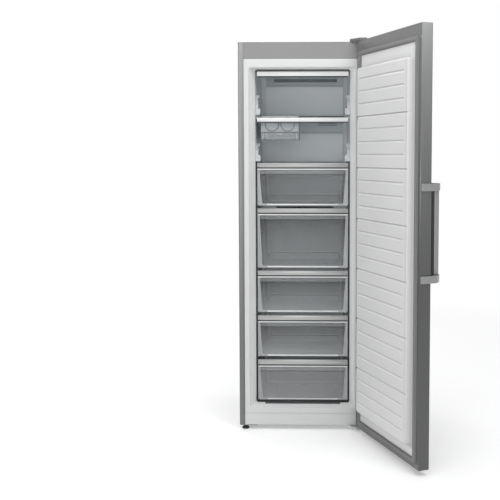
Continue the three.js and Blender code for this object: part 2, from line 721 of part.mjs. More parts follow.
// Each cap is an end plate, an inner-face wall and a boss for the hinge pin.
function cap(plate0, plate1, wall0, wall1, boss0, boss1) {
  return cut(
    join(
      run(rounded(-inX, inX, inOut, DOOR_IN, 5, 3), plate0, plate1),
      box(-inX, inX, DOOR_IN - 3, DOOR_IN, wall0, wall1),
      rod(HINGE_X, HINGE_Y, 11, boss0, boss1, "z", 20),
    ),
    rod(HINGE_X, HINGE_Y, pinR + 0.5, boss0 - 5, boss1 + 5, "z", 24),
  );
}
piece("door_top_cap", cap(DOOR_Z1 - 5, DOOR_Z1 - 0.2, CAP_TOP, DOOR_Z1 - 0.2, 1812, DOOR_Z1 - 2), DARK_TRIM, door);
piece("door_bottom_cap", cap(DOOR_Z0 + 0.2, DOOR_Z0 + 5, DOOR_Z0 + 0.2, CAP_BOTTOM, DOOR_Z0 + 2, 50), DARK_TRIM, door);

// inner liner: flat flange with a raised field, divided by creases, with low ribs on each section
const flangeX = HX - RETURN - GAP;
const creases = [332, 563, 794, 1024, 1256, 1486];
const field = (grow, face) => {
  const p = [
    [-PLUG_X - grow, DOOR_IN - 2.3], [PLUG_X + grow, DOOR_IN - 2.3],
    [PLUG_X - 4 + grow, face], [-PLUG_X + 4 - grow, face],
  ];
  return cut(
    run(p, PLUG_Z0 - grow, PLUG_Z1 + grow),
  );
};
const FIELD_Y = DOOR_IN + PLUG_H;
let doorLiner = join(
  box(-flangeX, flangeX, DOOR_IN - 2.4, DOOR_IN - 0.4, CAP_BOTTOM + GAP, CAP_TOP - GAP),
  field(0, FIELD_Y),
);
doorLiner = cut(doorLiner, field(-2, FIELD_Y - 2), box(-PLUG_X + 2, PLUG_X - 2, DOOR_IN - 6, DOOR_IN - 1, PLUG_Z0 + 2, PLUG_Z1 - 2));
const edges = [PLUG_Z0, ...creases, PLUG_Z1];
for (const z of creases)
  doorLiner = cut(doorLiner, run([[FIELD_Y - 1.3, z], [FIELD_Y + 1, z - 3.5], [FIELD_Y + 1, z + 3.5]], -PLUG_X - 2, PLUG_X + 2, "x"));
for (let i = 0; i + 1 < edges.length; i++)
  for (const part of [0.25, 0.5, 0.75]) {
    const z = edges[i] + (edges[i + 1] - edges[i]) * part;
    doorLiner = cut(doorLiner, run([[FIELD_Y - 1.2, z], [FIELD_Y + 1, z - 4], [FIELD_Y + 1, z + 4]], -203, 203, "x"));
  }
piece("door_inner_liner", doorLiner, LINER_WHITE, door);

piece(
  "door_insulation",
  cut(
    join(
      run(rounded(-inX + 0.3, inX - 0.3, inOut, DOOR_IN - 3.3, 5, 3), DOOR_Z0 + 5.4, DOOR_Z1 - 5.4),
      box(-PLUG_X + 2.3, PLUG_X - 2.3, DOOR_IN - 4, DOOR_IN - 2, PLUG_Z0 + 2.3, PLUG_Z1 - 2.3),
      field(-2.3, FIELD_Y - 5.4),
    ),
    rod(HINGE_X, HINGE_Y, 11.6, 1811, DOOR_Z1, "z", 20),
    rod(HINGE_X, HINGE_Y, 11.6, DOOR_Z0, 51, "z", 20),
    box(-windowX, windowX, DOOR_OUT - 5, DOOR_OUT + 15, windowZ0, windowZ1),
  ),
  FOAM,
  door,
);

// gasket: a flat base with a hollow-looking bead that meets the cabinet front
const ring = (e0, e1, y0, y1) => {
  const z0 = 48;
  const z1 = 1787;
  const outer = rounded(-275 + e0, 275 - e0, z0 + e0, z1 - e0, 6, 3);
  const inner = rounded(-275 + e1, 275 - e1, z0 + e1, z1 - e1, 5, 3);
  return run(outer, y0, y1, "y", [inner]);
};
piece("door_gasket", join(ring(0, 23, DOOR_IN + 0.3, DOOR_IN + 3.5), ring(4, 19, DOOR_IN + 2.5, DOOR_IN + 7.5)), GASKET, door);

piece(
  "display_panel",
  join(
    run(rounded(-DISPLAY.w / 2, DISPLAY.w / 2, DISPLAY.z - DISPLAY.h / 2, DISPLAY.z + DISPLAY.h / 2, 3, 3), DOOR_OUT - 1, DOOR_OUT + 8, "y"),
    box(-60, 60, DOOR_OUT + 6, DOOR_OUT + 14, DISPLAY.z - 28, DISPLAY.z + 28),
  ),
  BLACK,
  door,
);

// handle: a bar between two arms that wrap round the door's free side
const O = DOOR_OUT;
const armPlan = [
  [-HX - 0.4, DOOR_IN], [-HX - 9, DOOR_IN], [-HX - 10, DOOR_IN - 1], [-HX - 10, O - 17], [-HX - 8, O - 23], [-HX - 3, O - 29],
  [-HX + 16, O - 47], [-HX + 22, O - 51.5], [-HX + 29, O - 54], [-HX + 62, O - 54], [-HX + 66, O - 52.3], [-HX + 68, O - 48],
  [-HX + 68, O - 36], [-HX + 66, O - 31.7], [-HX + 62, O - 30], [-HX + 32, O - 30], [-HX + 25, O - 27.5], [-HX + 3, O - 8], [-HX - 0.4, O - 2],
];
piece("handle_arm_bottom", run(armPlan, HANDLE_Z[0], HANDLE_Z[0] + ARM_H), SILVER, door);
piece("handle_arm_top", run(armPlan, HANDLE_Z[1] - ARM_H, HANDLE_Z[1]), SILVER, door);
piece("handle_bar", run(rounded(-HX + 30, -HX + 68, O - 54, O - 30, 6, 4), HANDLE_Z[0] + ARM_H + GAP, HANDLE_Z[1] - ARM_H - GAP), SILVER, door);

export default freezer;
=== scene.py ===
"""Looks for the upright freezer: finishes, fine shapes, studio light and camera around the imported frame."""

import json
import math

import bmesh
import bpy
from mathutils import Matrix, Vector


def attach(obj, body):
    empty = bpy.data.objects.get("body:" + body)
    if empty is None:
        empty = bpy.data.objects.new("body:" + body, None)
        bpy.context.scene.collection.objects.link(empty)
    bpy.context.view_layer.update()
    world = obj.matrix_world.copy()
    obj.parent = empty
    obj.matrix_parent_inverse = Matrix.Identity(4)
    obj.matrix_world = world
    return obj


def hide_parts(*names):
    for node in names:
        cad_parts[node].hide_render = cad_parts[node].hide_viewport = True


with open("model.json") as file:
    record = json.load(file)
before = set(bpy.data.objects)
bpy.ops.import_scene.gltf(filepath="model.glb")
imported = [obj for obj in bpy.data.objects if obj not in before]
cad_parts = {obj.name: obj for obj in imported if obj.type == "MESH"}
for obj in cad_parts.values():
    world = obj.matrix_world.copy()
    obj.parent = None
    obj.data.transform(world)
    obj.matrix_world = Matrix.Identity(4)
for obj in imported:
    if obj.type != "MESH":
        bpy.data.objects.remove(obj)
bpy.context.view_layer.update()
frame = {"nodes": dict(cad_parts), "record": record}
NODES = frame["nodes"]

# ------------------------------------------------------------------ dimensions, in millimetres as in the CAD
FRONT = -295.0
HX = 300.0
HINGE = (285.0, -329.0)
DOOR_ANGLE = math.radians(113)
DOOR_IN = -303.0
DOOR_OUT = -353.0
FACE_D = 80.0
FACE_X = 217.5
DRAWERS = [
    (1071, (1254, 1275), 438),
    (771, (1036, 1057), 438),
    (554, (734, 756), 438),
    (338, (515, 538), 438),
    (123, (297, 321), 343),
]
FLAPS = [(1506, (1688, 1709), 1512), (1285, (1472, 1491), 1291)]
SHELF_TOPS = [1500, 1281.5, 1069.5, 769.5, 552.5, 336.5]
DOOR_CREASES = [332, 563, 794, 1024, 1256, 1486]
PLUG = (243.0, 117.0, 1711.0)
DISPLAY = (154.0, 74.0, 1643.0)
HANDLE_Z = (797.0, 1199.0)


def at(x, y, z):
    return Vector((x / 1000, y / 1000, z / 1000))


def on_door(x, y, z):
    """A point of the door drawn closed, where it is with the door open as it stands."""
    c, s = math.cos(DOOR_ANGLE), math.sin(DOOR_ANGLE)
    dx, dy = x - HINGE[0], y - HINGE[1]
    return at(HINGE[0] + c * dx - s * dy, HINGE[1] + s * dx + c * dy, z)


SLOT_OF = {s["node"]: s["material_slot"] for s in frame["record"]["subparts"]}


# ------------------------------------------------------------------ node helpers
class Surface:
    """One procedural material, built up from a Principled shader."""

    def __init__(self, name, **values):
        self.mat = bpy.data.materials.new(name)
        self.mat.use_nodes = True
        self.tree = self.mat.node_tree
        self.tree.nodes.clear()
        self.out = self.tree.nodes.new("ShaderNodeOutputMaterial")
        self.bsdf = self.tree.nodes.new("ShaderNodeBsdfPrincipled")
        self.link(self.bsdf.outputs["BSDF"], self.out.inputs["Surface"])
        self.coord = self.tree.nodes.new("ShaderNodeTexCoord").outputs["Object"]
        self.normal = None
        for key, value in values.items():
            self.set(key.replace("_", " ").title(), value)

    def set(self, socket, value):
        names = {"Base Color": "Base Color", "Ior": "IOR", "Specular Ior Level": "Specular IOR Level"}
        s = self.bsdf.inputs[names.get(socket, socket)]
        if hasattr(value, "is_linked") or isinstance(value, bpy.types.NodeSocket):
            self.link(value, s)
        elif isinstance(value, (tuple, list)) and len(value) == 3 and s.type == "RGBA":
            s.default_value = (*value, 1)
        else:
            s.default_value = value

    def link(self, a, b):
        self.tree.links.new(a, b)

    def node(self, kind, inputs=None, **props):
        n = self.tree.nodes.new(kind)
        for k, v in props.items():
            setattr(n, k, v)
        for k, v in (inputs or {}).items():
            if isinstance(v, bpy.types.NodeSocket):
                self.link(v, n.inputs[k])
            else:
                n.inputs[k].default_value = v
        return n

    def stretched(self, scale, rotation=(0, 0, 0)):
        return self.node("ShaderNodeMapping", {"Vector": self.coord, "Scale": scale, "Rotation": rotation}).outputs[0]

    def noise(self, scale, detail=2.0, rough=0.5, vector=None, distortion=0.0):
        return self.node(
            "ShaderNodeTexNoise",
            {"Vector": vector or self.coord, "Scale": scale, "Detail": detail, "Roughness": rough, "Distortion": distortion},
        ).outputs["Fac"]

    def voronoi(self, scale, feature="F1", vector=None):
        n = self.node("ShaderNodeTexVoronoi", {"Vector": vector or self.coord, "Scale": scale}, feature=feature)
        return n.outputs["Distance"]

    def remap(self, fac, a, b, low=0.0, high=1.0):
        return self.node("ShaderNodeMapRange", {"Value": fac, "From Min": a, "From Max": b, "To Min": low, "To Max": high}).outputs[0]

    def math(self, op, a, b=0.0, c=0.0):
        return self.node("ShaderNodeMath", {0: a, 1: b, 2: c}, operation=op).outputs[0]

    def axis(self, letter):
        return self.node("ShaderNodeSeparateXYZ", {0: self.coord}).outputs[letter]

    def facing(self, letter):
        """How far the surface's own normal, in the piece's frame, points along one axis."""
        n = self.node("ShaderNodeTexCoord").outputs["Normal"]
        return self.node("ShaderNodeSeparateXYZ", {0: n}).outputs[letter]

    def blend(self, fac, a, b, mode="MIX"):
        n = self.node("ShaderNodeMix", data_type="RGBA", blend_type=mode)
        for key, v in (("A", a), ("B", b)):
            socket = next(i for i in n.inputs if i.name == key and i.type == "RGBA")
            if isinstance(v, bpy.types.NodeSocket):
                self.link(v, socket)
            else:
                socket.default_value = (*v, 1) if len(v) == 3 else v
        f = n.inputs[0]
        if isinstance(fac, bpy.types.NodeSocket):
            self.link(fac, f)
        else:
            f.default_value = fac
        return next(o for o in n.outputs if o.type == "RGBA")

    def bump(self, height, strength, distance):
        n = self.node("ShaderNodeBump", {"Height": height, "Strength": strength, "Distance": distance})
        if self.normal is not None:
            self.link(self.normal, n.inputs["Normal"])
        self.normal = n.outputs["Normal"]
        self.link(self.normal, self.bsdf.inputs["Normal"])
        return self


def grey(v, warm=0.0):
    return (v * (1 + warm), v, v * (1 - warm))


# ------------------------------------------------------------------ finishes
def plastic(name, color, rough, grain=650.0, grain_depth=0.00006, mottle=0.03, coat=0.0, specular=0.5):
    """Moulded plastic: fine texture from the tool, faint uneven colour, a little uneven gloss."""
    s = Surface(name, base_color=color, roughness=rough)
    wide = s.noise(3.2, 3, 0.6)
    dark = tuple(c * (1 - mottle) for c in color)
    light = tuple(min(1, c * (1 + mottle)) for c in color)
    s.set("Base Color", s.blend(s.remap(wide, 0.35, 0.65), dark, light))
    s.set("Roughness", s.remap(s.noise(26, 3), 0.3, 0.7, rough - 0.04, rough + 0.05))
    s.set("Specular IOR Level", specular)
    if coat:
        s.set("Coat Weight", coat)
        s.set("Coat Roughness", 0.12)
    s.bump(s.noise(7.0, 2), 0.25, 0.0006)
    s.bump(s.noise(grain, 2), 0.35, grain_depth)
    return s


def brushed(name, color, rough, metallic, grain=(520, 520, 5.0), depth=0.00003, spread=0.07, streak=0.5, painted_falloff=0.0, span=(0.9, 1.85), curve=1.0):
    """Steel with a fine grain along one axis, over slow bands of tone. Its last arguments paint shade on it, darker
    towards its foot, over a span of heights.
    """
    s = Surface(name, base_color=color, roughness=rough, metallic=metallic)
    fine = s.noise(1.0, 4, 0.65, s.stretched(grain))
    mid = s.noise(1.0, 2, 0.5, s.stretched(tuple(g * 0.09 for g in grain)))
    wide = s.noise(2.1, 2, 0.5)
    tone = s.math("ADD", s.math("MULTIPLY", fine, streak), s.math("MULTIPLY", mid, 1 - streak))
    dark = tuple(c * (1 - spread) for c in color)
    light = tuple(min(1, c * (1 + spread)) for c in color)
    base = s.blend(s.remap(tone, 0.3, 0.7), dark, light)
    # painted shade: the colour is multiplied darker towards the piece's foot
    if painted_falloff:
        rise = s.math("POWER", s.remap(s.axis("Z"), *span), curve)
        shade = s.math("ADD", s.math("MULTIPLY", rise, painted_falloff), 1 - painted_falloff)
        base = s.blend(1.0, base, s.node("ShaderNodeCombineColor", {0: shade, 1: shade, 2: shade}).outputs[0], "MULTIPLY")
    s.set("Base Color", base)
    s.set("Roughness", s.math("ADD", s.remap(fine, 0.3, 0.7, rough - 0.05, rough + 0.05), s.remap(wide, 0.3, 0.7, -0.02, 0.02)))
    s.bump(s.noise(2.6, 2), 0.3, 0.0005)
    s.bump(fine, 0.35, depth)
    return s


def clear_plastic(name, color, alpha, rough=0.12, edge=0.35, ripple=0.4):
    """Tinted see-through plastic: straight through, with gloss, and denser where it is seen along its surface."""
    s = Surface(name, base_color=color, roughness=rough, ior=1.5)
    rim = s.node("ShaderNodeLayerWeight", {"Blend": 0.32}).outputs["Facing"]
    cloud = s.remap(s.noise(5.0, 3), 0.35, 0.65, -0.015, 0.015)
    s.set("Alpha", s.math("ADD", s.remap(rim, 0.25, 1.0, alpha, min(1.0, alpha + edge)), cloud))
    s.set("Base Color", s.blend(s.remap(s.noise(4.0, 3), 0.35, 0.65), tuple(c * 0.95 for c in color), tuple(min(1, c * 1.05) for c in color)))
    s.set("Roughness", s.remap(s.noise(30, 2), 0.3, 0.7, rough - 0.03, rough + 0.05))
    s.bump(s.noise(14, 2), ripple, 0.0004)
    s.bump(s.noise(380, 2), 0.2, 0.00004)
    return s


def silver(name, color, rough, metallic=0.75):
    """Metallised trim with a grain that runs sideways."""
    s = brushed(name, color, rough, metallic, grain=(6.0, 700, 700), depth=0.000015, spread=0.05, streak=0.4)
    s.set("Coat Weight", 0.25)
    s.set("Coat Roughness", 0.15)
    return s


M = {}
# the side and door steel are painted darker towards the floor as painted shade
M["side_steel"] = brushed("side_steel", (0.315, 0.319, 0.315), 0.42, 0.62, depth=0.00002, painted_falloff=0.45, span=(0.5, 1.85))
M["door_steel"] = brushed("door_steel", (0.393, 0.397, 0.397), 0.38, 0.80, depth=0.00003, painted_falloff=0.70, span=(0.65, 1.84), curve=1.9)
M["grey_trim"] = plastic("grey_trim", grey(0.235), 0.5, coat=0.0)
M["dark_trim"] = plastic("dark_trim", grey(0.15), 0.5, grain=420, grain_depth=0.00012)
M["white_trim"] = plastic("white_trim", (0.86, 0.865, 0.865), 0.28, mottle=0.01, coat=0.35)
# lit and shaded copies of one white plastic: the upper flap's strip is painted lighter and glossier as painted light,
# the lower one darker as painted shade
M["strip_white_1"] = plastic("strip_white_1", (0.97, 0.972, 0.97), 0.22, mottle=0.01, coat=0.9)
M["strip_white_2"] = plastic("strip_white_2", (0.74, 0.742, 0.74), 0.34, mottle=0.01, coat=0.1)
M["duct_grey"] = plastic("duct_grey", (0.74, 0.775, 0.795), 0.45, mottle=0.02)
duct = M["duct_grey"]
# painted light and shade on the duct cover: beside the flaps its proud fields are painted lighter, most in the upper
# compartment, and its recessed middle, where the vents sit under each shelf, is painted darker as shade
proud = duct.math("MULTIPLY", duct.remap(duct.axis("Y"), 0.156, 0.151), duct.remap(duct.axis("Z"), 1.276, 1.284))
duct_cloud = duct.remap(duct.noise(3.2, 3, 0.6), 0.35, 0.65)
painted_recess_shade = duct.math("MULTIPLY", duct.remap(duct.axis("Z"), 1.276, 1.284), duct.remap(duct.math("ABSOLUTE", duct.axis("X")), 0.2012, 0.2002))
duct_back = duct.blend(duct_cloud, (0.725, 0.76, 0.78), (0.755, 0.79, 0.81))
duct_back = duct.blend(painted_recess_shade, duct_back, duct.blend(duct_cloud, (0.50, 0.535, 0.555), (0.53, 0.565, 0.585)))
duct.set("Base Color", duct.blend(proud, duct_back, duct.blend(duct.remap(duct.axis("Z"), 1.48, 1.50), duct.blend(duct_cloud, (0.76, 0.79, 0.80), (0.79, 0.82, 0.83)), duct.blend(duct_cloud, (0.86, 0.89, 0.905), (0.89, 0.92, 0.935)))))
M["ice_plastic"] = plastic("ice_plastic", (0.34, 0.36, 0.372), 0.4, mottle=0.02)
M["clear_plastic"] = clear_plastic("clear_plastic", (0.42, 0.455, 0.475), 0.10)
M["flap_plastic"] = clear_plastic("flap_plastic", (0.34, 0.375, 0.40), 0.06, ripple=0.1)
M["shelf_glass"] = clear_plastic("shelf_glass", (0.34, 0.42, 0.41), 0.08, rough=0.05, edge=0.6, ripple=0.05)
M["drawer_border"] = clear_plastic("drawer_border", (0.62, 0.63, 0.635), 0.40, rough=0.2, edge=0.3, ripple=0.05)
M["basket_plastic"] = clear_plastic("basket_plastic", (0.30, 0.33, 0.345), 0.10, edge=0.55)
# painted light: the basket's floor, rim and other flat-lying faces are painted much lighter than its walls
painted_lit_faces = M["basket_plastic"].remap(M["basket_plastic"].math("ABSOLUTE", M["basket_plastic"].facing("Z")), 0.6, 0.95)
M["basket_plastic"].set("Base Color", M["basket_plastic"].blend(painted_lit_faces, (0.30, 0.33, 0.345), (0.78, 0.81, 0.825)))
M["drawer_head"] = clear_plastic("drawer_head", (0.50, 0.52, 0.53), 0.18, rough=0.2, edge=0.2, ripple=0.05)
M["drawer_line"] = clear_plastic("drawer_line", (0.95, 0.96, 0.965), 0.88, rough=0.2, edge=0.3, ripple=0.1)
M["drawer_dark_line"] = clear_plastic("drawer_dark_line", (0.05, 0.055, 0.06), 0.42, rough=0.3, edge=0.2, ripple=0.1)
M["ice_box_plastic"] = clear_plastic("ice_box_plastic", (0.40, 0.42, 0.432), 0.34, rough=0.2, edge=0.2, ripple=0.03)
M["drawer_bead"] = clear_plastic("drawer_bead", (0.74, 0.75, 0.75), 0.86, rough=0.18, edge=0.12, ripple=0.05)
M["joint_shade"] = plastic("joint_shade", (0.10, 0.107, 0.113), 0.6, grain=300, grain_depth=0.00008, mottle=0.1, specular=0.25)
M["clip_plastic"] = clear_plastic("clip_plastic", (0.62, 0.635, 0.645), 0.62, rough=0.3, edge=0.25, ripple=0.1)
M["silver_trim"] = silver("silver_trim", (0.42, 0.42, 0.416), 0.32, metallic=0.35)
# the handle is painted a little darker towards its lower end as painted shade
M["handle_metal"] = brushed("handle_metal", (0.33, 0.332, 0.331), 0.38, 0.75, grain=(420, 420, 6.0), depth=0.00003, painted_falloff=0.08, span=(0.8, 1.2))
zinc = Surface("zinc_steel", base_color=(0.5, 0.52, 0.53), roughness=0.42, metallic=0.7)
spangle = zinc.node("ShaderNodeSeparateColor", {0: zinc.node("ShaderNodeTexVoronoi", {"Vector": zinc.coord, "Scale": 62.0}, feature="F1").outputs["Color"]})
zinc.set("Base Color", zinc.blend(spangle.outputs[0], (0.40, 0.415, 0.425), (0.54, 0.555, 0.565)))
zinc.set("Roughness", zinc.remap(spangle.outputs[1], 0.0, 1.0, 0.34, 0.50))
zinc.bump(zinc.noise(1.6, 2), 0.12, 0.0004)
zinc.bump(zinc.noise(240, 2), 0.25, 0.00003)
M["zinc_steel"] = zinc
M["black_metal"] = plastic("black_metal", grey(0.022), 0.42, grain=240, grain_depth=0.00015, mottle=0.15)
M["black_plastic"] = plastic("black_plastic", grey(0.03), 0.55, grain=420, grain_depth=0.0001, mottle=0.12)
M["aluminium_fin"] = brushed("aluminium_fin", (0.62, 0.63, 0.64), 0.35, 0.9)
M["foot_rubber"] = plastic("foot_rubber", grey(0.035), 0.7, grain=300, grain_depth=0.0002, mottle=0.15, specular=0.3)
M["gasket_grey"] = plastic("gasket_grey", grey(0.20), 0.62, grain=260, grain_depth=0.0001, mottle=0.05, specular=0.35)
M["foam"] = plastic("foam", (0.72, 0.64, 0.40), 0.95, grain=120, grain_depth=0.0008, mottle=0.12, specular=0.2)
M["display_black"] = plastic("display_black", (0.006, 0.006, 0.007), 0.09, grain=900, grain_depth=0.000005, mottle=0.2, coat=1.0)

# the liner is one white plastic: the frame and plinth take the plain white, the slanted mouth and the door's sheet are
# painted lighter as painted light, and the room behind the fronts is painted blue-grey in painted light and shade
WHITE = (0.585, 0.588, 0.588)  # frame and plinth
# the slanted mouth's white is painted lighter than the frame's: painted light
LIT_WALL_WHITE = (0.85, 0.852, 0.85)  # slanted mouth
M["liner_white"] = plastic("liner_white", WHITE, 0.38, mottle=0.012, grain=520, grain_depth=0.00003)
# the door's sheet is painted lighter than the frame's white as painted light, and multiplied by the painted light and
# shade that the door liner sets on its points
M["door_white"] = plastic("door_white", (0.70, 0.70, 0.699), 0.38, mottle=0.012, grain=520, grain_depth=0.00003)
painted_light_fac = M["door_white"].node("ShaderNodeAttribute", attribute_name="hollow", attribute_type="GEOMETRY").outputs["Fac"]
door_tone = M["door_white"].blend(M["door_white"].remap(M["door_white"].noise(3.2, 3, 0.6), 0.35, 0.65), grey(0.691), grey(0.709))
M["door_white"].set("Base Color", M["door_white"].blend(1.0, door_tone, M["door_white"].node("ShaderNodeCombineColor", {0: painted_light_fac, 1: painted_light_fac, 2: painted_light_fac}).outputs[0], "MULTIPLY"))
room = plastic("liner_room", WHITE, 0.38, mottle=0.012, grain=520, grain_depth=0.00003)
cloudy = room.remap(room.noise(3.2, 3, 0.6), 0.35, 0.65)
deep = room.axis("Y")
by_fronts = room.remap(room.axis("Z"), 1.276, 1.284)
ceiling = room.remap(room.axis("Z"), 1.709, 1.712)
shade_end = room.remap(room.math("SUBTRACT", by_fronts, ceiling), 0.0, 1.0, (FRONT + 330) / 1000, (FRONT + 84) / 1000)
shaded = room.math("DIVIDE", room.math("SUBTRACT", deep, shade_end), room.remap(by_fronts, 0.0, 1.0, 0.11, 0.012))
shaded = room.remap(shaded, 0.0, 1.0)
# painted light and shade on the liner: the frame's face keeps the plain white except a painted shade strip on its hinge
# side beside the door; the slanted mouth is painted lighter; just behind the mouth the room is painted dark as shade,
# reaching deeper beside the drawers and under the ceiling than beside the flaps; from 460 to 470 mm in, the rear of the
# room turns to a painted dark shade; the lit room walls are painted lighter low down and darker high up beside the
# drawers, and light beside the flaps
room.set(
    "Base Color",
    room.blend(
        room.remap(deep, (FRONT + 80.5) / 1000, (FRONT + 83) / 1000),
        room.blend(
            room.remap(deep, (FRONT + 1.0) / 1000, (FRONT + 14) / 1000),
            room.blend(
                room.math("MULTIPLY", room.remap(room.axis("X"), 0.2545, 0.2560), room.remap(room.axis("X"), 0.2665, 0.2640)),
                room.blend(cloudy, tuple(c * 0.985 for c in WHITE), tuple(c * 1.015 for c in WHITE)),
                room.blend(cloudy, (0.20, 0.203, 0.205), (0.22, 0.223, 0.225)),
            ),
            room.blend(cloudy, tuple(c * 0.985 for c in LIT_WALL_WHITE), tuple(c * 1.015 for c in LIT_WALL_WHITE)),
        ),
        room.blend(
            room.math("MULTIPLY", shaded, room.remap(deep, (FRONT + 470) / 1000, (FRONT + 460) / 1000, 0.0, 1.0)),
            room.blend(room.remap(deep, (FRONT + 460) / 1000, (FRONT + 470) / 1000), (0.15, 0.16, 0.17), (0.24, 0.25, 0.26)),
            room.blend(
                by_fronts,
                room.blend(
                    room.remap(room.axis("Z"), 0.12, 1.2),
                    room.blend(cloudy, (0.74, 0.77, 0.785), (0.78, 0.81, 0.825)),
                    room.blend(cloudy, (0.48, 0.51, 0.53), (0.52, 0.55, 0.57)),
                ),
                room.blend(cloudy, (0.86, 0.885, 0.90), (0.89, 0.91, 0.925)),
            ),
        ),
    ),
)
M["liner_room"] = room

# painted shade for a slot on the mouth's floor: near black at its back, lighter towards the front, with a little random
# mottle
slot_dark = plastic("slot_shade", grey(0.1), 0.6, grain=300, grain_depth=0.00008, mottle=0.1, specular=0.25)
fade = slot_dark.remap(slot_dark.axis("Y"), (FRONT + 54) / 1000, (FRONT + 80) / 1000)
shade_mottle = slot_dark.remap(slot_dark.noise(40, 2), 0.3, 0.7)
slot_dark.set("Base Color", slot_dark.blend(fade, slot_dark.blend(shade_mottle, grey(0.20), grey(0.24)), slot_dark.blend(shade_mottle, grey(0.055), grey(0.07))))
M["slot_shade"] = slot_dark

clip = M["clip_plastic"]
upper_clip = clip.remap(clip.axis("Z"), 1.449, 1.451, 1.284, 1.505)
clip_height = clip.math("SUBTRACT", clip.axis("Z"), upper_clip)
clip.set("Alpha", clip.remap(clip_height, 0.034, 0.062, 0.66, 0.24))

# lit marks behind the display's glass
lit = Surface("display_mark", base_color=(0.05, 0.06, 0.06), roughness=0.4)
lit.set("Emission Color", lit.blend(lit.remap(lit.noise(900, 1), 0.3, 0.7), (0.50, 0.62, 0.66), (0.62, 0.74, 0.78)))
lit.set("Emission Strength", 0.55)
M["display_mark"] = lit


# ------------------------------------------------------------------ shape helpers
def smooth_all(mesh):
    for p in mesh.polygons:
        p.use_smooth = True


def soften(obj, width, segments=2, angle=30, weld=True):
    """Rounds a piece's sharp edges and evens its shading."""
    if weld:
        w = obj.modifiers.new("weld", "WELD")
        w.merge_threshold = 0.00002
        d = obj.modifiers.new("flat", "DECIMATE")
        d.decimate_type = "DISSOLVE"
        d.angle_limit = math.radians(0.6)
    b = obj.modifiers.new("edges", "BEVEL")
    b.width = width / 1000
    b.segments = segments
    b.limit_method = "ANGLE"
    b.angle_limit = math.radians(angle)
    b.use_clamp_overlap = True
    b.miter_outer = "MITER_SHARP"
    n = obj.modifiers.new("shade", "WEIGHTED_NORMAL")
    n.keep_sharp = False
    n.weight = 60
    smooth_all(obj.data)


def face_towards(obj, direction):
    """Turns a sheet's faces so that most of them look along a direction."""
    total = Vector((0, 0, 0))
    for p in obj.data.polygons:
        total += p.normal * p.area
    if total.dot(direction) < 0:
        obj.data.flip_normals()


def new_piece(name, verts, faces, body, material, stands_for=(), slot=None, sharp=None):
    mesh = bpy.data.meshes.new(name)
    mesh.from_pydata([tuple(v) for v in verts], [], faces)
    mesh.validate()
    bm = bmesh.new()
    bm.from_mesh(mesh)
    bmesh.ops.remove_doubles(bm, verts=bm.verts, dist=0.000002)
    bmesh.ops.recalc_face_normals(bm, faces=bm.faces)
    bm.to_mesh(mesh)
    bm.free()
    if sharp is not None:
        mesh.set_sharp_from_angle(angle=math.radians(sharp))
    else:
        smooth_all(mesh)
    obj = bpy.data.objects.new(name, mesh)
    bpy.context.scene.collection.objects.link(obj)
    mesh.materials.append(M[material].mat)
    if stands_for:
        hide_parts(*stands_for)
    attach(obj, body)
    return obj


def sweep(profile, stations, place, close_ends=True):
    """A closed profile [(u, v)] carried through stations [(s, grow)], as (verts, faces). place(u, v, s) gives the point."""
    cu = sum(p[0] for p in profile) / len(profile)
    cv = sum(p[1] for p in profile) / len(profile)
    verts, faces = [], []
    n = len(profile)
    for s, inset in stations:
        us = [p[0] for p in profile]
        vs = [p[1] for p in profile]
        ku = 1 - 2 * inset / (max(us) - min(us))
        kv = 1 - 2 * inset / (max(vs) - min(vs))
        mu, mv = (max(us) + min(us)) / 2, (max(vs) + min(vs)) / 2
        verts += [place(mu + (u - mu) * ku, mv + (v - mv) * kv, s) for u, v in profile]
    for k in range(len(stations) - 1):
        for i in range(n):
            j = (i + 1) % n
            faces.append((k * n + i, k * n + j, (k + 1) * n + j, (k + 1) * n + i))
    if close_ends:
        faces.append(tuple(range(n)))
        faces.append(tuple((len(stations) - 1) * n + i for i in reversed(range(n))))
    return verts, faces


def arc(cu, cv, r, a0, a1, steps):
    return [
        (cu + r * math.cos(math.radians(a0 + (a1 - a0) * i / steps)), cv + r * math.sin(math.radians(a0 + (a1 - a0) * i / steps)))
        for i in range(steps + 1)
    ]


def rounded(u0, u1, v0, v1, r, steps=5):
    rs = r if isinstance(r, (tuple, list)) else (r,) * 4
    return (
        arc(u1 - rs[0], v0 + rs[0], rs[0], -90, 0, steps)
        + arc(u1 - rs[1], v1 - rs[1], rs[1], 0, 90, steps)
        + arc(u0 + rs[2], v1 - rs[2], rs[2], 90, 180, steps)
        + arc(u0 + rs[3], v0 + rs[3], rs[3], 180, 270, steps)
    )


def join_parts(*parts):
    verts, faces = [], []
    for v, f in parts:
        k = len(verts)
        verts += list(v)
        faces += [tuple(i + k for i in face) for face in f]
    return verts, faces



# ------------------------------------------------------------------ CAD nodes that are shown as they are, with finer edges
EDGE = {  # bevel in millimetres; 0 keeps the edges
    "outer_shell": 0, "back_panel": 0.6, "top_front_trim": 0.9, "plinth_panel": 1.2,
    "bottom_panel": 0, "compressor_tray": 0.5, "compressor": 2.0, "condenser_coil": 0, "mains_inlet_box": 2.0,
    "duct_cover": 1.0, "evaporator": 0, "fan_motor": 0.8, "evaporator_fan": 0.5,
    "top_hinge_cover": 2.0, "top_hinge_bracket": 0.8, "bottom_hinge_bracket": 0.8,
    "front_foot_left": 0.8, "front_foot_right": 0.8, "rear_roller_left": 1.5, "rear_roller_right": 1.5,
    "ice_maker_frame": 0.7, "ice_tray_left": 1.0, "ice_tray_right": 1.0, "ice_box": 0.8,
    "door_outer_skin": 0, "door_top_cap": 1.0, "door_bottom_cap": 1.0,
    "handle_bar": 1.0, "handle_arm_top": 2.0, "handle_arm_bottom": 2.0,
}
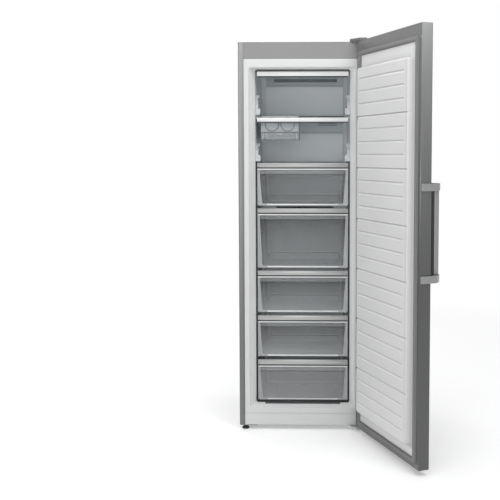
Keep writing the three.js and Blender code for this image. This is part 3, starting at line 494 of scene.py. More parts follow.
for name, obj in NODES.items():
    slot = SLOT_OF[name]
    material = M[slot].mat
    if name.startswith("flap_") and name.endswith("_panel"):
        material = M["flap_plastic"].mat
    if "_pivot_" in name:
        material = M["clip_plastic"].mat
    if name == "ice_box":
        material = M["ice_box_plastic"].mat
    obj.data.materials.clear()
    obj.data.materials.append(material)
    if name.startswith("glass_shelf"):
        soften(obj, 0.8)
    elif name.startswith("flap_") and "pivot" in name:
        soften(obj, 1.2)
    elif name.startswith("flap_") and name.endswith("panel"):
        soften(obj, 0.8)
    elif EDGE.get(name):
        soften(obj, EDGE[name], 3 if EDGE[name] >= 1.2 else 2)
    elif name in EDGE:
        w = obj.modifiers.new("weld", "WELD")
        w.merge_threshold = 0.00002
        n = obj.modifiers.new("shade", "WEIGHTED_NORMAL")
        n.weight = 60
        smooth_all(obj.data)

# ------------------------------------------------------------------ grip strips of the flaps and drawers
def grip_strip(name, node, body, z0, z1, material, slot=None):
    """A crowned strip with rolled edges, hollow behind, and rounded ends."""
    h = z1 - z0
    y = FRONT + FACE_D
    front = []
    steps = 12
    for i in range(steps + 1):
        t = i / steps
        v = z0 + 2.6 + (h - 5.2) * t
        front.append((y - 2.7 - 1.2 * math.sin(math.pi * t), v))
    profile = (
        arc(y - 0.1, z0 + 2.6, 2.6, -90, -180, 4)[:-1]
        + front
        + arc(y - 0.1, z1 - 2.6, 2.6, 180, 90, 4)[1:]
        + [(y + 11.5, z1), (y + 12, z1 - 0.6), (y + 12, z1 - 1.8), (y + 1.6, z1 - 2.4), (y + 1.6, z0 + 4.4), (y + 6, z0 + 3.4), (y + 6, z0)]
    )
    half = FACE_X
    stations = [(-half, 1.0), (-half + 0.4, 0.35), (-half + 1.2, 0), (half - 1.2, 0), (half - 0.4, 0.35), (half, 1.0)]
    verts, faces = sweep(profile, stations, lambda u, v, s: at(s, u, v))
    obj = new_piece(name, verts, faces, body, material, stands_for=[node], slot=slot, sharp=40)
    # the neck that joins the strip to the front below it, drawn dark as painted shade in the joint
    neck = sweep(rounded(y + 3.9, y + 6.4, z0 - 6.6, z0 + 3.0, 0.5, 2), [(-half + 1.5, 0), (half - 1.5, 0)], lambda u, v, s: at(s, u, v))
    new_piece(name + "_neck", *neck, body, "joint_shade", slot=SLOT_OF[node], sharp=40)
    return obj


for i, (z, (g0, g1), pivot) in enumerate(FLAPS, 1):
    grip_strip(f"flap_{i}_strip", f"flap_{i}_grip", f"flap_{i}", g0, g1, f"strip_white_{i}", slot="white_trim")
for i, (z, (g0, g1), back) in enumerate(DRAWERS, 1):
    grip_strip(f"drawer_{i}_strip", f"drawer_{i}_grip", f"drawer_{i}", g0, g1, "silver_trim")

# ------------------------------------------------------------------ drawer tubs
# each window's painted light: how dense and how light its plastic is painted at the top, then at the bottom; mostly
# lighter at the bottom and in the lower drawers
WINDOW_PAINTED_LIGHT = [(0.20, 0.10, 0.18, 0.10), (0.28, 0.03, 0.15, 0.42), (0.20, 0.07, 0.20, 0.56), (0.20, 0.14, 0.25, 0.54), (0.22, 0.46, 0.22, 0.60)]
SEAM_HEIGHTS = [37, 37, 29, 29, 18]  # of each basket's rear seam over its floor


def tub(i, z0, g0, depth):
    """A see-through drawer: tapered basket with round corners, rolled rim and ribs, behind a framed front."""
    y0 = FRONT + FACE_D
    h = g0 - 6 - z0
    back = depth - FACE_D
    top = h - 4

    def section(half, yf, yb, rc, steps=6):
        return rounded(-half, half, yf, yb, (6, rc, rc, 6), steps)

    loops = []
    rb = 14
    for k in range(6):
        a = math.radians(90 * k / 5)
        inset = rb * (1 - math.sin(a))
        z = rb * (1 - math.cos(a))
        t = z / top
        loops.append((section(192 + 12.5 * t - inset, 3.4, back - 16 + 11 * t - inset, 26), z))
    for k in range(1, 7):
        z = rb + (top - 3 - rb) * k / 6
        t = z / top
        loops.append((section(192 + 12.5 * t, 3.4, back - 16 + 11 * t, 26), z))
    # rolled rim
    loops.append((section(206.5, 3.4, back - 3.2, 27), top - 1.6))
    loops.append((section(209.0, 3.4, back - 1.2, 28), top - 1.4))
    loops.append((section(210.0, 3.4, back - 0.2, 29), top - 2.2))
    loops.append((section(210.0, 3.4, back - 0.2, 29), top - 5.5))
    n = len(loops[0][0])
    verts, faces = [], []
    for ring, z in loops:
        verts += [at(u, y0 + v, z0 + z) for u, v in ring]
    for k in range(len(loops) - 1):
        for a in range(n):
            b = (a + 1) % n
            if k < len(loops) - 4 and max(loops[k][0][a][1], loops[k][0][b][1]) < 3.6:
                continue  # open where the front closes it
            faces.append((k * n + a, k * n + b, (k + 1) * n + b, (k + 1) * n + a))
    faces.append(tuple(reversed(range(n))))
    basket = new_piece(f"drawer_{i}_basket", verts, faces, f"drawer_{i}", "basket_plastic", slot="clear_plastic")
    s = basket.modifiers.new("wall", "SOLIDIFY")
    s.thickness = 0.0018
    s.offset = -1
    s.use_even_offset = True

    # front: a pale border round a tapered window, a lip above and a bead below
    def trapezoid(z_low, z_high, w_low, w_high, r, steps=5):
        """Rounded outline that widens upwards."""
        slope = math.atan2(w_high - w_low, z_high - z_low)
        out = []
        for cx, cz, a0, a1 in (
            (w_low - r, z_low + r, -90, 0 - math.degrees(slope)),
            (w_high - r, z_high - r, 0 - math.degrees(slope), 90),
            (-w_high + r, z_high - r, 90, 180 + math.degrees(slope)),
            (-w_low + r, z_low + r, 180 + math.degrees(slope), 270),
        ):
            out += arc(cx, cz, r, a0, a1, steps)
        return out

    outer = rounded(-FACE_X, FACE_X, z0, z0 + h, (7, 2, 2, 7), 5)
    inner = trapezoid(z0 + 9.5, z0 + h - 6.5, 195.5, 206.5, 9)
    no = len(outer)
    soft = trapezoid(z0 + 8.7, z0 + h - 5.7, 196.3, 207.3, 9.6)
    rim = [(FACE_X - 0.5, 0.5)]
    vs = []
    vs += [at(u * (1 - 0.5 / FACE_X), y0 + 0.2, z0 + h / 2 + (v - z0 - h / 2) * (1 - 1.0 / h)) for u, v in outer]
    vs += [at(u, y0 + 0.2, v) for u, v in soft]
    vs += [at(u, y0 + 0.9, v) for u, v in inner]
    vs += [at(u, y0 + 3.4, v) for u, v in inner]
    vs += [at(u, y0 + 3.4, v) for u, v in outer]
    vs += [at(u, y0 + 0.7, v) for u, v in outer]
    fs = []
    for k in range(6):
        k2 = (k + 1) % 6
        for a in range(no):
            b = (a + 1) % no
            fs.append((k * no + a, k * no + b, k2 * no + b, k2 * no + a))
    border = new_piece(f"drawer_{i}_border", vs, fs, f"drawer_{i}", "drawer_border", stands_for=[f"drawer_{i}_tub"], slot="clear_plastic", sharp=35)

    window_light = WINDOW_PAINTED_LIGHT[i - 1]
    glass = clear_plastic(f"drawer_window_{i}", (0.4, 0.4, 0.4), 0.1)
    # painted light: the window runs from its top tone to its foot tone as the table gives, mostly lighter at the foot
    low = glass.remap(glass.axis("Z"), (z0 + h - 26) / 1000, (z0 + 14) / 1000)
    cloud = glass.remap(glass.noise(5.0, 3), 0.35, 0.65, -0.015, 0.015)
    rim_fac = glass.node("ShaderNodeLayerWeight", {"Blend": 0.32}).outputs["Facing"]
    dense = glass.math("ADD", glass.remap(low, 0, 1, window_light[0], window_light[2]), glass.remap(rim_fac, 0.25, 1.0, 0.0, 0.35))
    glass.set("Alpha", glass.math("ADD", dense, cloud))
    glass.set("Base Color", glass.blend(low, (window_light[1] * 0.97, window_light[1] * 1.0, window_light[1] * 1.03), (window_light[3] * 0.97, window_light[3] * 1.0, window_light[3] * 1.02)))
    M[f"drawer_window_{i}"] = glass
    pane = trapezoid(z0 + 9.8, z0 + h - 6.8, 195.2, 206.2, 8.7)
    verts, faces = sweep([(u, v) for u, v in pane], [(y0 + 1.3, 0.3), (y0 + 1.6, 0), (y0 + 3.2, 0)], lambda u, v, s_: at(u, s_, v))
    new_piece(f"drawer_{i}_window", verts, faces, f"drawer_{i}", f"drawer_window_{i}", slot="clear_plastic", sharp=35)

    # the lip and the bead are drawn pale and nearly opaque: painted highlight along them
    lip = sweep(
        rounded(y0 - 2.4, y0 + 0.1, z0 + h - 5.6, z0 + h, 1.2, 4),
        [(-FACE_X, 0.6), (-FACE_X + 0.8, 0), (FACE_X - 0.8, 0), (FACE_X, 0.6)],
        lambda u, v, s_: at(s_, u, v),
    )
    bead = sweep(
        rounded(y0 - 0.5, y0 + 0.1, z0 + 1.5, z0 + 8.2, 0.28, 3),
        [(-171, 0.2), (-170, 0), (170, 0), (171, 0.2)],
        lambda u, v, s_: at(s_, u, v),
    )
    new_piece(f"drawer_{i}_beads", *join_parts(lip, bead), f"drawer_{i}", "drawer_bead", slot="clear_plastic", sharp=35)

    # thicker head of the window, closed below by a step drawn as a dark line: painted shade under the head
    head = sweep(
        rounded(y0 + 1.0, y0 + 1.9, z0 + h - 25, z0 + h - 6.6, 0.3, 3),
        [(-206, 0.2), (-205.4, 0), (205.4, 0), (206, 0.2)],
        lambda u, v, s_: at(s_, u, v),
    )
    new_piece(f"drawer_{i}_head", *head, f"drawer_{i}", "drawer_head", slot="clear_plastic", sharp=35)
    step = sweep(
        rounded(y0 + 1.0, y0 + 2.2, z0 + h - 28, z0 + h - 25, 0.4, 3),
        [(-205, 0.2), (-204.6, 0), (204.6, 0), (205, 0.2)],
        lambda u, v, s_: at(s_, u, v),
    )
    new_piece(f"drawer_{i}_step", *step, f"drawer_{i}", "drawer_dark_line", slot="clear_plastic", sharp=35)

    rise = SEAM_HEIGHTS[i - 1]
    # thick seams of the basket: up its two rear corners and along the rear of its floor, drawn near white as painted
    # highlight where the plastic curves
    seams = []
    for side in (-1, 1):
        def corner(u, v, t, side=side):
            half_t = 192 + 12.5 * t
            back_t = back - 16 + 11 * t
            return at(side * (half_t - 9.4) + u, y0 + back_t - 9.4 + v, z0 + top * t)
        seams.append(sweep(rounded(-0.8, 0.8, -0.8, 0.8, 0.5, 3), [(0.1, 0.4), (0.13, 0), (0.90, 0), (0.93, 0.4)], corner))
    seams.append(sweep(
        rounded(y0 + back - 17.5, y0 + back - 15, z0 + rise, z0 + rise + 3.5, 0.8, 3),
        [(-178, 0.5), (-177, 0), (177, 0), (178, 0.5)],
        lambda u, v, s_: at(s_, u, v),
    ))
    new_piece(f"drawer_{i}_seams", *join_parts(*seams), f"drawer_{i}", "drawer_line", slot="clear_plastic", sharp=35)
    # dark lines from the front's lower corners back and up to the rear seam, and one under the rear seam: painted shade
    # along the basket's floor edges
    runs = []
    for side in (-1, 1):
        def along(u, v, t, side=side):
            """From the front's lower corner back and up to the rear seam."""
            return at(side * (186.0 - 8.0 * t) + u, y0 + 12 + (back - 30 - 12) * t, z0 + 13.5 + (rise - 15) * t * t + v)
        runs.append(sweep(rounded(-1.3, 1.3, -1.2, 1.2, 0.8, 3), [(0.0, 0.4), (0.04, 0), (0.35, 0), (0.7, 0), (0.96, 0), (1.0, 0.4)], along))
    runs.append(sweep(
        rounded(y0 + back - 17.5, y0 + back - 15, z0 + rise - 3.5, z0 + rise - 0.8, 0.6, 3),
        [(-178, 0.5), (-177, 0), (177, 0), (178, 0.5)],
        lambda u, v, s_: at(s_, u, v),
    ))
    new_piece(f"drawer_{i}_floor_seams", *join_parts(*runs), f"drawer_{i}", "drawer_dark_line", slot="clear_plastic", sharp=35)
    return basket, border


for i, (z, (g0, g1), depth) in enumerate(DRAWERS, 1):
    tub(i, z, g0, depth)

# ------------------------------------------------------------------ cabinet liner: frame, slanted mouth and room in one sheet
def cabinet_liner():
    z0, z1 = 109.6, 1719.4
    rings = []  # depth, half width, bottom, top, corner radius

    def ring(d, x, low, high, r):
        rings.append((d, x, low, high, r))

    ring(6.0, 273.6, 80.4, 1759.6, 2.0)
    ring(1.2, 273.6, 80.4, 1759.6, 2.0)
    ring(0.3, 273.2, 80.8, 1759.2, 2.2)
    ring(0.0, 272.4, 81.6, 1758.4, 2.6)
    ring(0.0, 262.0, 100.0, 1729.0, 9.0)
    # rolled edge into the slanted mouth
    slope = math.atan2(24.0, 80.0)
    r = 6.0
    for k in range(7):
        a = (math.pi / 2 - slope) * k / 6
        ring(r * (1 - math.cos(a)), 254.4 - r * math.sin(a), z0 - 5.0 + 5.0 * math.sin(a), z1 + 5.0 - 5.0 * math.sin(a), 9.0 + 2.0 * math.sin(a))
    d0, x0 = rings[-1][0], rings[-1][1]
    for k in (0.25, 0.5, 0.75, 0.94):
        ring(d0 + (80 - d0) * k, x0 + (226 - x0) * k, z0, z1, 11.0 - k)
    ring(79.2, 226.4, z0, z1, 10.0)
    ring(80.6, 226.1, z0, z1, 10.0)
    ring(83.0, 226.0, z0, z1, 10.0)
    for d in (130, 200, 270, 340):
        ring(d, 226.0, z0, z1, 10.0)
    for k in range(1, 5):  # foot of the step over the machine compartment
        a = math.pi / 2 * k / 4
        ring(343 + 10 * math.sin(a), 226.0, z0 + 10 * (1 - math.cos(a)), z1, 10.0)
    for k in range(5):  # head of the step
        a = math.pi / 2 * k / 4
        ring(354 + 10 * (1 - math.cos(a)), 226.0, 278 + 10 * math.sin(a), z1, 10.0)
    for d, x in ((400, 226.0), (440, 226.0), (443, 225.2), (450, 222.0), (453, 221.4), (508, 221.4)):
        ring(d, x, 288.0, z1, 10.0)
    for k in range(1, 5):  # round into the back wall
        a = math.pi / 2 * k / 4
        e = 10 * (1 - math.cos(a))
        ring(508 + 12 * math.sin(a), 221.4 - e, 288.0 + e, z1 - e, 10.0 + e * 0.5)
    loops = []
    for d, x, low, high, r in rings:
        loops.append([at(u, FRONT + d, v) for u, v in rounded(-x, x, low, high, r, 5)])
    n = len(loops[0])
    verts = [v for loop in loops for v in loop]
    faces = []
    for k in range(len(loops) - 1):
        for a in range(n):
            b = (a + 1) % n
            faces.append((k * n + a, k * n + b, (k + 1) * n + b, (k + 1) * n + a))
    faces.append(tuple((len(loops) - 1) * n + a for a in range(n)))
    obj = new_piece("liner_sheet", verts, faces, "cabinet", "liner_room", stands_for=["inner_liner"], slot="liner_white")
    face_towards(obj, Vector((0, -1, 0)))
    m = obj.modifiers.new("sheet", "SOLIDIFY")
    m.thickness = 0.0018
    m.offset = -1
    # ledges that carry the shelves, and two low runners on the floor
    parts = []
    for top in SHELF_TOPS:
        for side in (-1, 1):
            section = [(side * u, v) for u, v in rounded(213.2, 225.9, top - 12.2, top - 4.4, 2.0, 3)]
            parts.append(sweep(section, [(104, 1.4), (105.4, 0), (437, 0), (438, 0.8)], lambda u, v, s: at(u, FRONT + s, v)))
    for x in (-150, 130):
        parts.append(sweep(rounded(x, x + 20, 109.9, 121.3, 2.5, 3), [(96, 2), (98, 0), (349, 0), (351, 1)], lambda u, v, s: at(u, FRONT + s, v)))
    new_piece("liner_ledges", *join_parts(*parts), "cabinet", "liner_room", slot="liner_white", sharp=40)
    # a thin dark plate on the mouth's floor, in front of the lowest drawer: painted shade that stands in for a slot
    slot = sweep(rounded(-182, 182, FRONT + 55, FRONT + 82, (3, 1, 1, 3), 3), [(109.4, 0), (110.1, 0), (110.3, 0.3)], lambda u, v, s: at(u, v, s))
    new_piece("liner_floor_slot", *slot, "cabinet", "slot_shade", slot="liner_white", sharp=40)
    return obj


cabinet_liner()

# ------------------------------------------------------------------ front edge of the shelf over the ice maker: a dark strip at the right, painted shade, and a pale lip over the maker
shelf_front = min((NODES["glass_shelf_1"].matrix_world @ v.co).y for v in NODES["glass_shelf_1"].data.vertices) * 1000
for name, x0, x1, material in (("shelf_edge_shade", -18, 196, "joint_shade"), ("shelf_edge_lip", -198, -20, "white_trim")):
    strip = sweep(rounded(x0, x1, 1495.9, 1500.6, 0.8, 3), [(shelf_front - 0.7, 0.4), (shelf_front - 0.4, 0), (shelf_front - 0.1, 0)], lambda u, v, s: at(u, s, v))
    new_piece(name, *strip, "cabinet", material, slot="shelf_glass", sharp=35)

# ------------------------------------------------------------------ back panel: shallow pressed fields that stiffen the sheet
fields = []
for k in range(7):
    low = 262 + k * 224
    outline = rounded(-246, 246, low, low + 186, 26, 6)
    fields.append(sweep(outline, [(293.9, 0), (294.2, 0), (294.35, 1.0), (294.8, 5.0), (294.95, 8.0)], lambda u, v, s: at(u, s, v)))
new_piece("back_panel_fields", *join_parts(*fields), "cabinet", "zinc_steel", sharp=50)

# ------------------------------------------------------------------ ice maker: shadow rings round the knobs, grips of the box
def disc_ring(x, z, r0, r1, d0, d1, steps=40):
    """A flat ring that faces the front."""
    verts, faces = [], []
    for r, d in ((r0, d0), (r1, d0), (r1, d1), (r0, d1)):
        verts += [at(x + r * math.cos(2 * math.pi * k / steps), FRONT + d, z + r * math.sin(2 * math.pi * k / steps)) for k in range(steps)]
    for a in range(4):
        b = (a + 1) % 4
        for k in range(steps):
            j = (k + 1) % steps
            faces.append((a * steps + k, a * steps + j, b * steps + j, b * steps + k))
    return verts, faces


KNOBS = (-148.0, -73.0)
KNOB_Z, KNOB_R = 1460.0, 30.0
rings = []
for x in KNOBS:
    rings.append(disc_ring(x, KNOB_Z, KNOB_R + 0.4, KNOB_R + 2.3, 103.4, 104.6))
    rings.append(disc_ring(x, KNOB_Z, KNOB_R + 2.1, KNOB_R + 4.2, 101.75, 101.95))
    # dark lines along the top and foot of each knob's bar: painted shade
    for z, half in ((KNOB_Z + 7.2, 27.4), (KNOB_Z - 9.0, 26.8)):
        rings.append(sweep(rounded(x - half, x + half, z, z + 1.6, 0.6, 2), [(FRONT + 101.75, 0), (FRONT + 101.95, 0)], lambda u, v, s: at(u, s, v)))
# a dark line under the maker's frame: painted shade
rings.append(sweep(rounded(-199, -21, 1422.5, 1424.3, 0.6, 2), [(FRONT + 101.7, 0), (FRONT + 101.9, 0)], lambda u, v, s: at(u, s, v)))
new_piece("ice_knob_rings", *join_parts(*rings), "cabinet", "joint_shade", slot="ice_plastic", sharp=35)
grips = []
for x0, x1 in ((-194.5, -187.0), (-33.0, -25.5)):
    grips.append(sweep(rounded(x0, x1, 1390, 1419, 1.6, 3), [(FRONT + 97.4, 0.8), (FRONT + 98.2, 0), (FRONT + 100.2, 0)], lambda u, v, s: at(u, s, v)))
for x0, x1 in ((-178.5, -176.0), (-172.5, -170.5), (-49.5, -47.0), (-43.5, -41.5)):
    grips.append(sweep(rounded(x0, x1, 1391, 1418, 0.8, 2), [(FRONT + 98.8, 0.4), (FRONT + 99.2, 0), (FRONT + 100.2, 0)], lambda u, v, s: at(u, s, v)))
grips.append(sweep(rounded(-124, -96, 1409, 1416, 2.5, 3), [(FRONT + 97.8, 0.8), (FRONT + 98.4, 0), (FRONT + 100.2, 0)], lambda u, v, s: at(u, s, v)))
new_piece("ice_box_grips", *join_parts(*grips), "cabinet", "drawer_border", slot="clear_plastic", sharp=35)

# ------------------------------------------------------------------ door liner: raised field with creases and ribs
def door_liner():
    half, z0, z1 = PLUG
    flange_x, flange_z0, flange_z1 = 277.7, 50.3, 1785.7
    wall = 9.0  # from the foot of the field to its flat face

    def profile(d):
        """Height over the flange, d inside the foot of the field."""
        if d <= 0:
            return 0.0
        foot, head = 2.2, 6.5
        if d >= 1.8 + head + 1.6:
            return 30.4
        # a short foot fillet, a steep side, and a round shoulder
        if d < 1.8:
            return foot * (1 - math.sqrt(max(0.0, 1 - (d / 1.8) ** 2)))
        k = min(1.0, (d - 1.8) / (head + 1.6))
        side = 1 - (1 - k) ** 2.6
        return foot + (30.4 - foot) * side

    def inside(x, z, r=16.0):
        """Distance inside the rounded outline of the field."""
        dx = half - abs(x)
        dz = min(z - z0, z1 - z)
        if dx < r and dz < r:
            return r - math.hypot(r - dx, r - dz)
        return min(dx, dz)

    edges = [z0, *DOOR_CREASES, z1]
    ribs = []
    for a, b in zip(edges, edges[1:]):
        for part in (0.25, 0.5, 0.75):
            ribs.append(a + (b - a) * part)

    def cut_depth(x, z):
        d = 0.0
        for c in DOOR_CREASES:
            t = z - c
            if 0 <= t < 2.6:
                d = max(d, 4.6 * (1 - t / 2.6))
            elif -9 < t < 0:
                d = max(d, 4.6 * (1 + t / 9) ** 1.8)
        for c in ribs:
            t = z - c
            end = min(1.0, max(0.0, (x + 207.0) / 3.0), max(0.0, (217.0 - x) / 3.0))
            if 0.6 <= t < 5.4:
                d = max(d, end * 4.2 * (1 - (t - 0.6) / 4.8))
            elif -1.0 < t < 0.6:
                d = max(d, end * 4.2)
            elif -8.2 < t <= -1.0:
                d = max(d, end * 4.2 * (1 - (-1.0 - t) / 7.2))
        # soft sunk line just inside the field's edge, above and below
        for c in (z1 - 9.5, z0 + 9.5):
            r = abs(z - c)
            if r < 5 and abs(x) < half - 8:
                d = max(d, 1.4 * (0.5 + 0.5 * math.cos(math.pi * r / 5)))
        return d

    def crown(z):
        """Each section stands a little fuller in its middle."""
        for a, b in zip(edges, edges[1:]):
            if a <= z <= b:
                return 0.9 * (1 - (2 * (z - a) / (b - a) - 1) ** 4)
        return 0.0

    xs = set()
    for s in (-1, 1):
        for v in [flange_x, 270, 262, 254, 248, 244.5]:
            xs.add(s * v)
        for k in range(13):
            xs.add(s * (half - k * 0.85))
        for v in [231, 226, 221, 217, 216.2, 215, 214, 213.2, 210.5, 207, 206.2, 205, 204, 203.2, 200, 190, 170, 140, 110, 80, 50, 20]:
            xs.add(s * v)
    zs = set()
    for v in [flange_z0, 58, 70, 84, 98, 108, 114, flange_z1, 1778, 1764, 1748, 1732, 1720, 1714]:
        zs.add(v)
    for k in range(13):
        zs.add(z0 + k * 0.85)
        zs.add(z1 - k * 0.85)
    for c in (z1 - 9.5, z0 + 9.5):
        for k in range(-4, 5):
            zs.add(c + k * 1.25)
    for c in DOOR_CREASES:
        for k in (-12, -9, -7.5, -6, -4.5, -3, -1.8, -0.8, 0, 0.6, 1.3, 2.6, 3.2, 6, 9):
            zs.add(c + k)
    for c in ribs:
        for k in (-11, -8.8, -8.2, -7.2, -5.4, -3.4, -1.4, -1.0, -0.2, 0.6, 0.9, 2.4, 4, 5.1, 5.4, 6, 9):
            zs.add(c + k)
    full = sorted(zs)
    for a, b in zip(full, full[1:]):
        if b - a > 16:
            for k in range(1, int((b - a) // 10)):
                zs.add(a + (b - a) * k / int((b - a) // 10))
    xs, zs = sorted(xs), sorted(zs)
    verts, faces = [], []
    for z in zs:
        for x in xs:
            d = inside(x, z)
            height = profile(d)
            if height > 0:
                share = min(1.0, height / 30.4)
                height += share * crown(z) - share * cut_depth(x, z)
            height = min(height, 30.4)
            verts.append(on_door(x, DOOR_IN - 0.4 + height, z))
    nx = len(xs)
    for j in range(len(zs) - 1):
        for i in range(nx - 1):
            a = j * nx + i
            faces.append((a, a + 1, a + nx + 1, a + nx))
    obj = new_piece("door_liner_field", verts, faces, "door", "door_white", stands_for=["door_inner_liner"], slot="liner_white")
    s = obj.modifiers.new("sheet", "SOLIDIFY")
    s.thickness = 0.0016
    s.offset = 1

    def ramp(v, a, b):
        return min(1.0, max(0.0, (v - a) / (b - a)))

    def painted_light_tone(x, z):
        """How light the sheet is painted at a place: painted shade in the upper side of each groove and a painted
        highlight along its lower lip, at the ribs stronger lower down the door.
        """
        tone = 1.0
        low = 1 - ramp(z, 0.1, 1700)
        # painted shade in the upper side of each rib and a painted highlight on its lower lip, both stronger lower down
        for c in ribs:
            t = z - c
            if abs(t) < 12 and -207 <= x <= 217:
                if 0.2 < t < 5.2:
                    tone *= 0.80 - 0.22 * low
                elif -8.0 < t < -0.9:
                    tone *= 1.08 + 0.17 * low
        # the same at each crease, with deeper painted shade where a crease meets the field's hinge-side edge
        for c in DOOR_CREASES:
            t = z - c
            if abs(t) < 16 and x > -232:
                if -0.5 < t < 2.7:
                    tone *= 0.55
                elif -7.6 < t < -1.5:
                    tone *= 1.12
                if x > 232 and -15 < t < 2:
                    tone *= 0.35
        # a painted shade line along the head of the field, and the sheet above it painted paler as painted light
        if x > -209:
            tone *= 1 - 0.50 * ramp(z, z1 - 5.6, z1 - 3.4) * ramp(z, z1 + 2.4, z1 + 0.6)
        if z > z1 + 2.4:
            tone *= 1.07
        # the field's own shade painted on the sheet under it, and painted shade on the free edge's shoulder
        tone *= 1 - 0.34 * ramp(z, z0 - 17, z0 - 8) * ramp(z, z0 + 5, z0)
        if z > z0:
            tone *= 1 - 0.13 * ramp(x, -228, -232) * ramp(x, -245, -242)
            tone *= 1 - 0.10 * ramp(abs(x + 229), 3.0, 0.5)
        # rim under the outer skin's fold, painted dark as shade
        if abs(x) > 272 or z < flange_z0 + 4 or z > flange_z1 - 4:
            tone *= 0.06
        return tone

    c, sn = math.cos(-DOOR_ANGLE), math.sin(-DOOR_ANGLE)
    values = []
    for v in obj.data.vertices:
        dx, dy = v.co.x * 1000 - HINGE[0], v.co.y * 1000 - HINGE[1]
        values.append(painted_light_tone(HINGE[0] + c * dx - sn * dy, v.co.z * 1000))
    layer = obj.data.attributes.new("hollow", "FLOAT", "POINT")
    layer.data.foreach_set("value", values)
    return obj


liner = door_liner()


inner_dir = (on_door(0, 10, 0) - on_door(0, 0, 0)).normalized()
face_towards(liner, inner_dir)
liner.modifiers["sheet"].offset = -1

# ------------------------------------------------------------------ foam of the door: slab in the skin, block under the raised field
def door_foam():
    slab = sweep(
        rounded(-296.5, 296.5, DOOR_OUT + 1.6, DOOR_IN - 3.4, (2, 2, 5, 5), 3),
        [(54, 0.4), (55, 0), (1809, 0), (1810, 0.4)],
        lambda u, v, s: on_door(u, v, s),
    )
    half, z0, z1 = PLUG
    block = sweep(
        rounded(-half + 2.6, half - 2.6, z0 + 2.6, z1 - 2.6, 12, 4),
        [(DOOR_IN - 3.3, 0), (DOOR_IN + 0.6, 1.2), (DOOR_IN + 12, 4.0), (DOOR_IN + 20, 7.2), (DOOR_IN + 23.5, 11)],
        lambda u, v, s: on_door(u, s, v),
    )
    return new_piece("door_foam_block", *join_parts(slab, block), "door", "foam", stands_for=["door_insulation"], sharp=35)


door_foam()

# ------------------------------------------------------------------ door gasket: base strip, bellows and magnet bead all round
def gasket():
    z0, z1 = 48.0, 1787.0
    half = 275.0
    y = DOOR_IN
    # (distance inwards from the outer edge, height above the door's inner plane)
    prof = [(0.4, 0.3), (0.2, 1.4), (1.0, 2.9), (2.6, 3.3), (3.9, 3.4), (4.2, 4.6), (3.9, 5.8), (4.4, 7.0), (5.6, 7.5), (11.0, 7.5),
            (17.0, 7.4), (18.4, 6.9), (18.9, 5.8), (18.6, 4.7), (18.9, 3.6), (20.5, 3.3), (22.2, 2.6), (22.9, 1.2), (22.8, 0.3)]
    n = len(prof)
    corner = 6
    loops = []
    for e, hgt in prof:
        r = max(1.0, 8 - e * 0.25)
        ring = rounded(-half + e, half - e, z0 + e, z1 - e, r, corner)
        loops.append([on_door(u, y + hgt, v) for u, v in ring])
    m = len(loops[0])
    verts = [v for loop in loops for v in loop]
    faces = []
    for k in range(n):
        k2 = (k + 1) % n
        for a in range(m):
            b = (a + 1) % m
            faces.append((k * m + a, k * m + b, k2 * m + b, k2 * m + a))
    return new_piece("door_gasket_seal", verts, faces, "door", "gasket_grey", stands_for=["door_gasket"], sharp=60)


gasket()

# ------------------------------------------------------------------ display: glass tile with lit digits and touch marks
def tile(u0, u1, v0, v1, y_front, y_back, r, inset=0.8):
    outline = rounded(u0, u1, v0, v1, r, 5)
    return sweep(outline, [(y_front, inset), (y_front + 0.35, inset * 0.3), (y_front + 1.0, 0), (y_back, 0)], lambda u, v, s: on_door(u, s, v))


w, hgt, zc = DISPLAY
verts, faces = tile(-w / 2, w / 2, zc - hgt / 2, zc + hgt / 2, DOOR_OUT - 1.0, DOOR_OUT + 8, 3.0)
new_piece("display_glass", verts, faces, "door", "display_black", stands_for=["display_panel"], sharp=35)


def flat_mark(outline):
    """A thin mark laid on the display's glass."""
    front = [on_door(u, DOOR_OUT - 1.04, v) for u, v in outline]
    return front, [tuple(range(len(outline)))]


def digit(value, u, v, size):
    """A seven-segment numeral, drawn as separate bars. u runs to the reader's right."""
    segments = {
        "0": "abcdef", "1": "bc", "2": "abged", "3": "abgcd", "4": "fgbc", "5": "afgcd", "6": "afgedc", "7": "abc", "8": "abcdefg", "9": "abcdfg", "-": "g",
    }[value]
    t = size * 0.11
    wd, ht = size * 0.5, size
    bars = {
        "a": (t, wd - t, ht - t, ht), "g": (t, wd - t, ht / 2 - t / 2, ht / 2 + t / 2), "d": (t, wd - t, 0, t),
        "f": (0, t, ht / 2 + t, ht - t), "b": (wd - t, wd, ht / 2 + t, ht - t), "e": (0, t, t, ht / 2 - t), "c": (wd - t, wd, t, ht / 2 - t),
    }
    out = []
    for s in segments:
        a, b, c, d = bars[s]
        out.append(flat_mark([(u + a, v + c), (u + b, v + c), (u + b, v + d), (u + a, v + d)]))
    return out


def ring_mark(u, v, r, t, steps=20):
    verts, faces = [], []
    for rr in (r, r - t):
        verts += [on_door(u + rr * math.cos(2 * math.pi * k / steps), DOOR_OUT - 1.04, v + rr * math.sin(2 * math.pi * k / steps)) for k in range(steps)]
    for k in range(steps):
        j = (k + 1) % steps
        faces.append((k, j, steps + j, steps + k))
    return verts, faces


marks = []
for k, ch in enumerate("-18"):
    marks += digit(ch, -13 + k * 9.5, zc - 7, 14)
for u in (-58, -40, 44, 60):
    marks.append(ring_mark(u, zc - 4, 3.4, 0.8))
for u in (-58, -40, 44, 60):
    marks.append(flat_mark([(u - 4, zc + 9), (u + 4, zc + 9), (u + 4, zc + 9.9), (u - 4, zc + 9.9)]))
verts, faces = join_parts(*marks)
new_piece("display_marks", verts, faces, "door", "display_mark", slot="display_black", sharp=30)

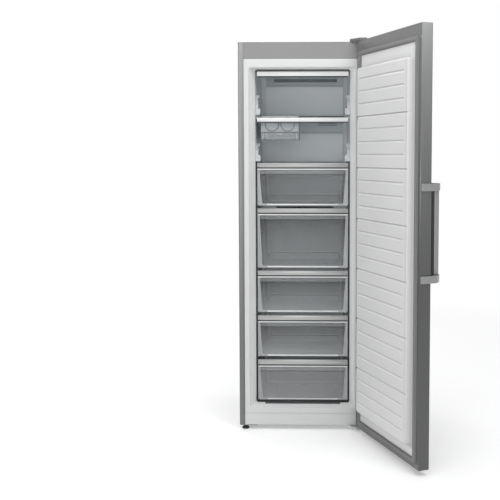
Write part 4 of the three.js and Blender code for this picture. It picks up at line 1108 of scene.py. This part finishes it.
# ------------------------------------------------------------------ floor, light, camera
def floor():
    size = 60.0
    mesh = bpy.data.meshes.new("floor")
    mesh.from_pydata([(-size, -size, 0), (size, -size, 0), (size, size, 0), (-size, size, 0)], [], [(0, 1, 2, 3)])
    obj = bpy.data.objects.new("floor", mesh)
    bpy.context.scene.collection.objects.link(obj)
    s = Surface("floor", roughness=0.65)
    s.set("Specular IOR Level", 0.2)
    s.set("Base Color", s.blend(s.remap(s.noise(0.6, 3), 0.3, 0.7), grey(0.84), grey(0.87)))
    s.set("Emission Color", (1.0, 1.0, 1.0))
    s.set("Emission Strength", 0.25)
    s.bump(s.noise(160, 2), 0.1, 0.0003)
    # far away the floor turns into the same pale tone as the backdrop, so there is no horizon
    far = s.math("SQRT", s.math("ADD", s.math("POWER", s.axis("X"), 2.0), s.math("POWER", s.axis("Y"), 2.0)))
    glow = s.node("ShaderNodeEmission", {"Color": (1, 1, 1, 1), "Strength": BACKDROP})
    mix = s.node("ShaderNodeMixShader", {0: s.remap(far, 1.3, 3.4)})
    s.link(s.bsdf.outputs[0], mix.inputs[1])
    s.link(glow.outputs[0], mix.inputs[2])
    s.link(mix.outputs[0], s.out.inputs["Surface"])
    mesh.materials.append(s.mat)


BACKDROP = 1.0
floor()


def area(name, place, aim, size, energy, color=(1, 1, 1)):
    data = bpy.data.lights.new(name, "AREA")
    data.shape = "RECTANGLE"
    data.size, data.size_y = size
    data.energy = energy
    data.color = color
    obj = bpy.data.objects.new(name, data)
    obj.location = place
    obj.rotation_euler = (Vector(aim) - Vector(place)).to_track_quat("-Z", "Y").to_euler()
    obj.visible_camera = False
    bpy.context.scene.collection.objects.link(obj)
    return obj


area("front", (-0.3, -5.0, 1.5), (0.0, -0.2, 0.95), (2.0, 1.6), 26)
area("front_top", (-0.2, -3.0, 4.0), (0.0, -0.2, 1.2), (3.0, 1.4), 53)
area("top", (0.0, 0.2, 4.0), (0.0, 0.0, 1.0), (3.0, 3.0), 47)
area("back", (-1.8, 3.4, 3.2), (0.0, 0.0, 1.0), (2.6, 2.0), 75)
area("left_high", (-2.6, -2.8, 3.6), (0.1, -0.3, 1.1), (1.8, 1.8), 12)
area("right_high", (2.2, -3.0, 3.6), (-0.1, -0.3, 1.1), (1.8, 1.8), 55)

world = bpy.data.worlds.new("studio")
bpy.context.scene.world = world
world.use_nodes = True
wt = world.node_tree
wt.nodes.clear()
wout = wt.nodes.new("ShaderNodeOutputWorld")
wbg = wt.nodes.new("ShaderNodeBackground")
wbg.inputs["Color"].default_value = (1, 1, 1, 1)
wbg.inputs["Strength"].default_value = BACKDROP
room = wt.nodes.new("ShaderNodeBackground")
room.inputs["Color"].default_value = (0.98, 0.99, 1, 1)
room.inputs["Strength"].default_value = 0.32
path = wt.nodes.new("ShaderNodeLightPath")
either = wt.nodes.new("ShaderNodeMixShader")
wt.links.new(path.outputs["Is Camera Ray"], either.inputs[0])
wt.links.new(room.outputs[0], either.inputs[1])
wt.links.new(wbg.outputs[0], either.inputs[2])
wt.links.new(either.outputs[0], wout.inputs["Surface"])

cam_data = bpy.data.cameras.new("camera")
cam_data.sensor_width = 36
cam_data.lens = 59.467
cam_data.shift_x = -0.12
cam_data.shift_y = -0.08
cam_data.clip_end = 200
camera = bpy.data.objects.new("camera", cam_data)
camera.location = (0.1120, -4.1712, 1.3108)
camera.rotation_euler = (math.radians(90 - 3.773), 0, math.radians(1.114))
bpy.context.scene.collection.objects.link(camera)
bpy.context.scene.camera = camera

scene = bpy.context.scene
scene.view_settings.view_transform = "Standard"
scene.view_settings.look = "None"
scene.cycles.max_bounces = 10
scene.cycles.transparent_max_bounces = 24

bpy.context.view_layer.update()
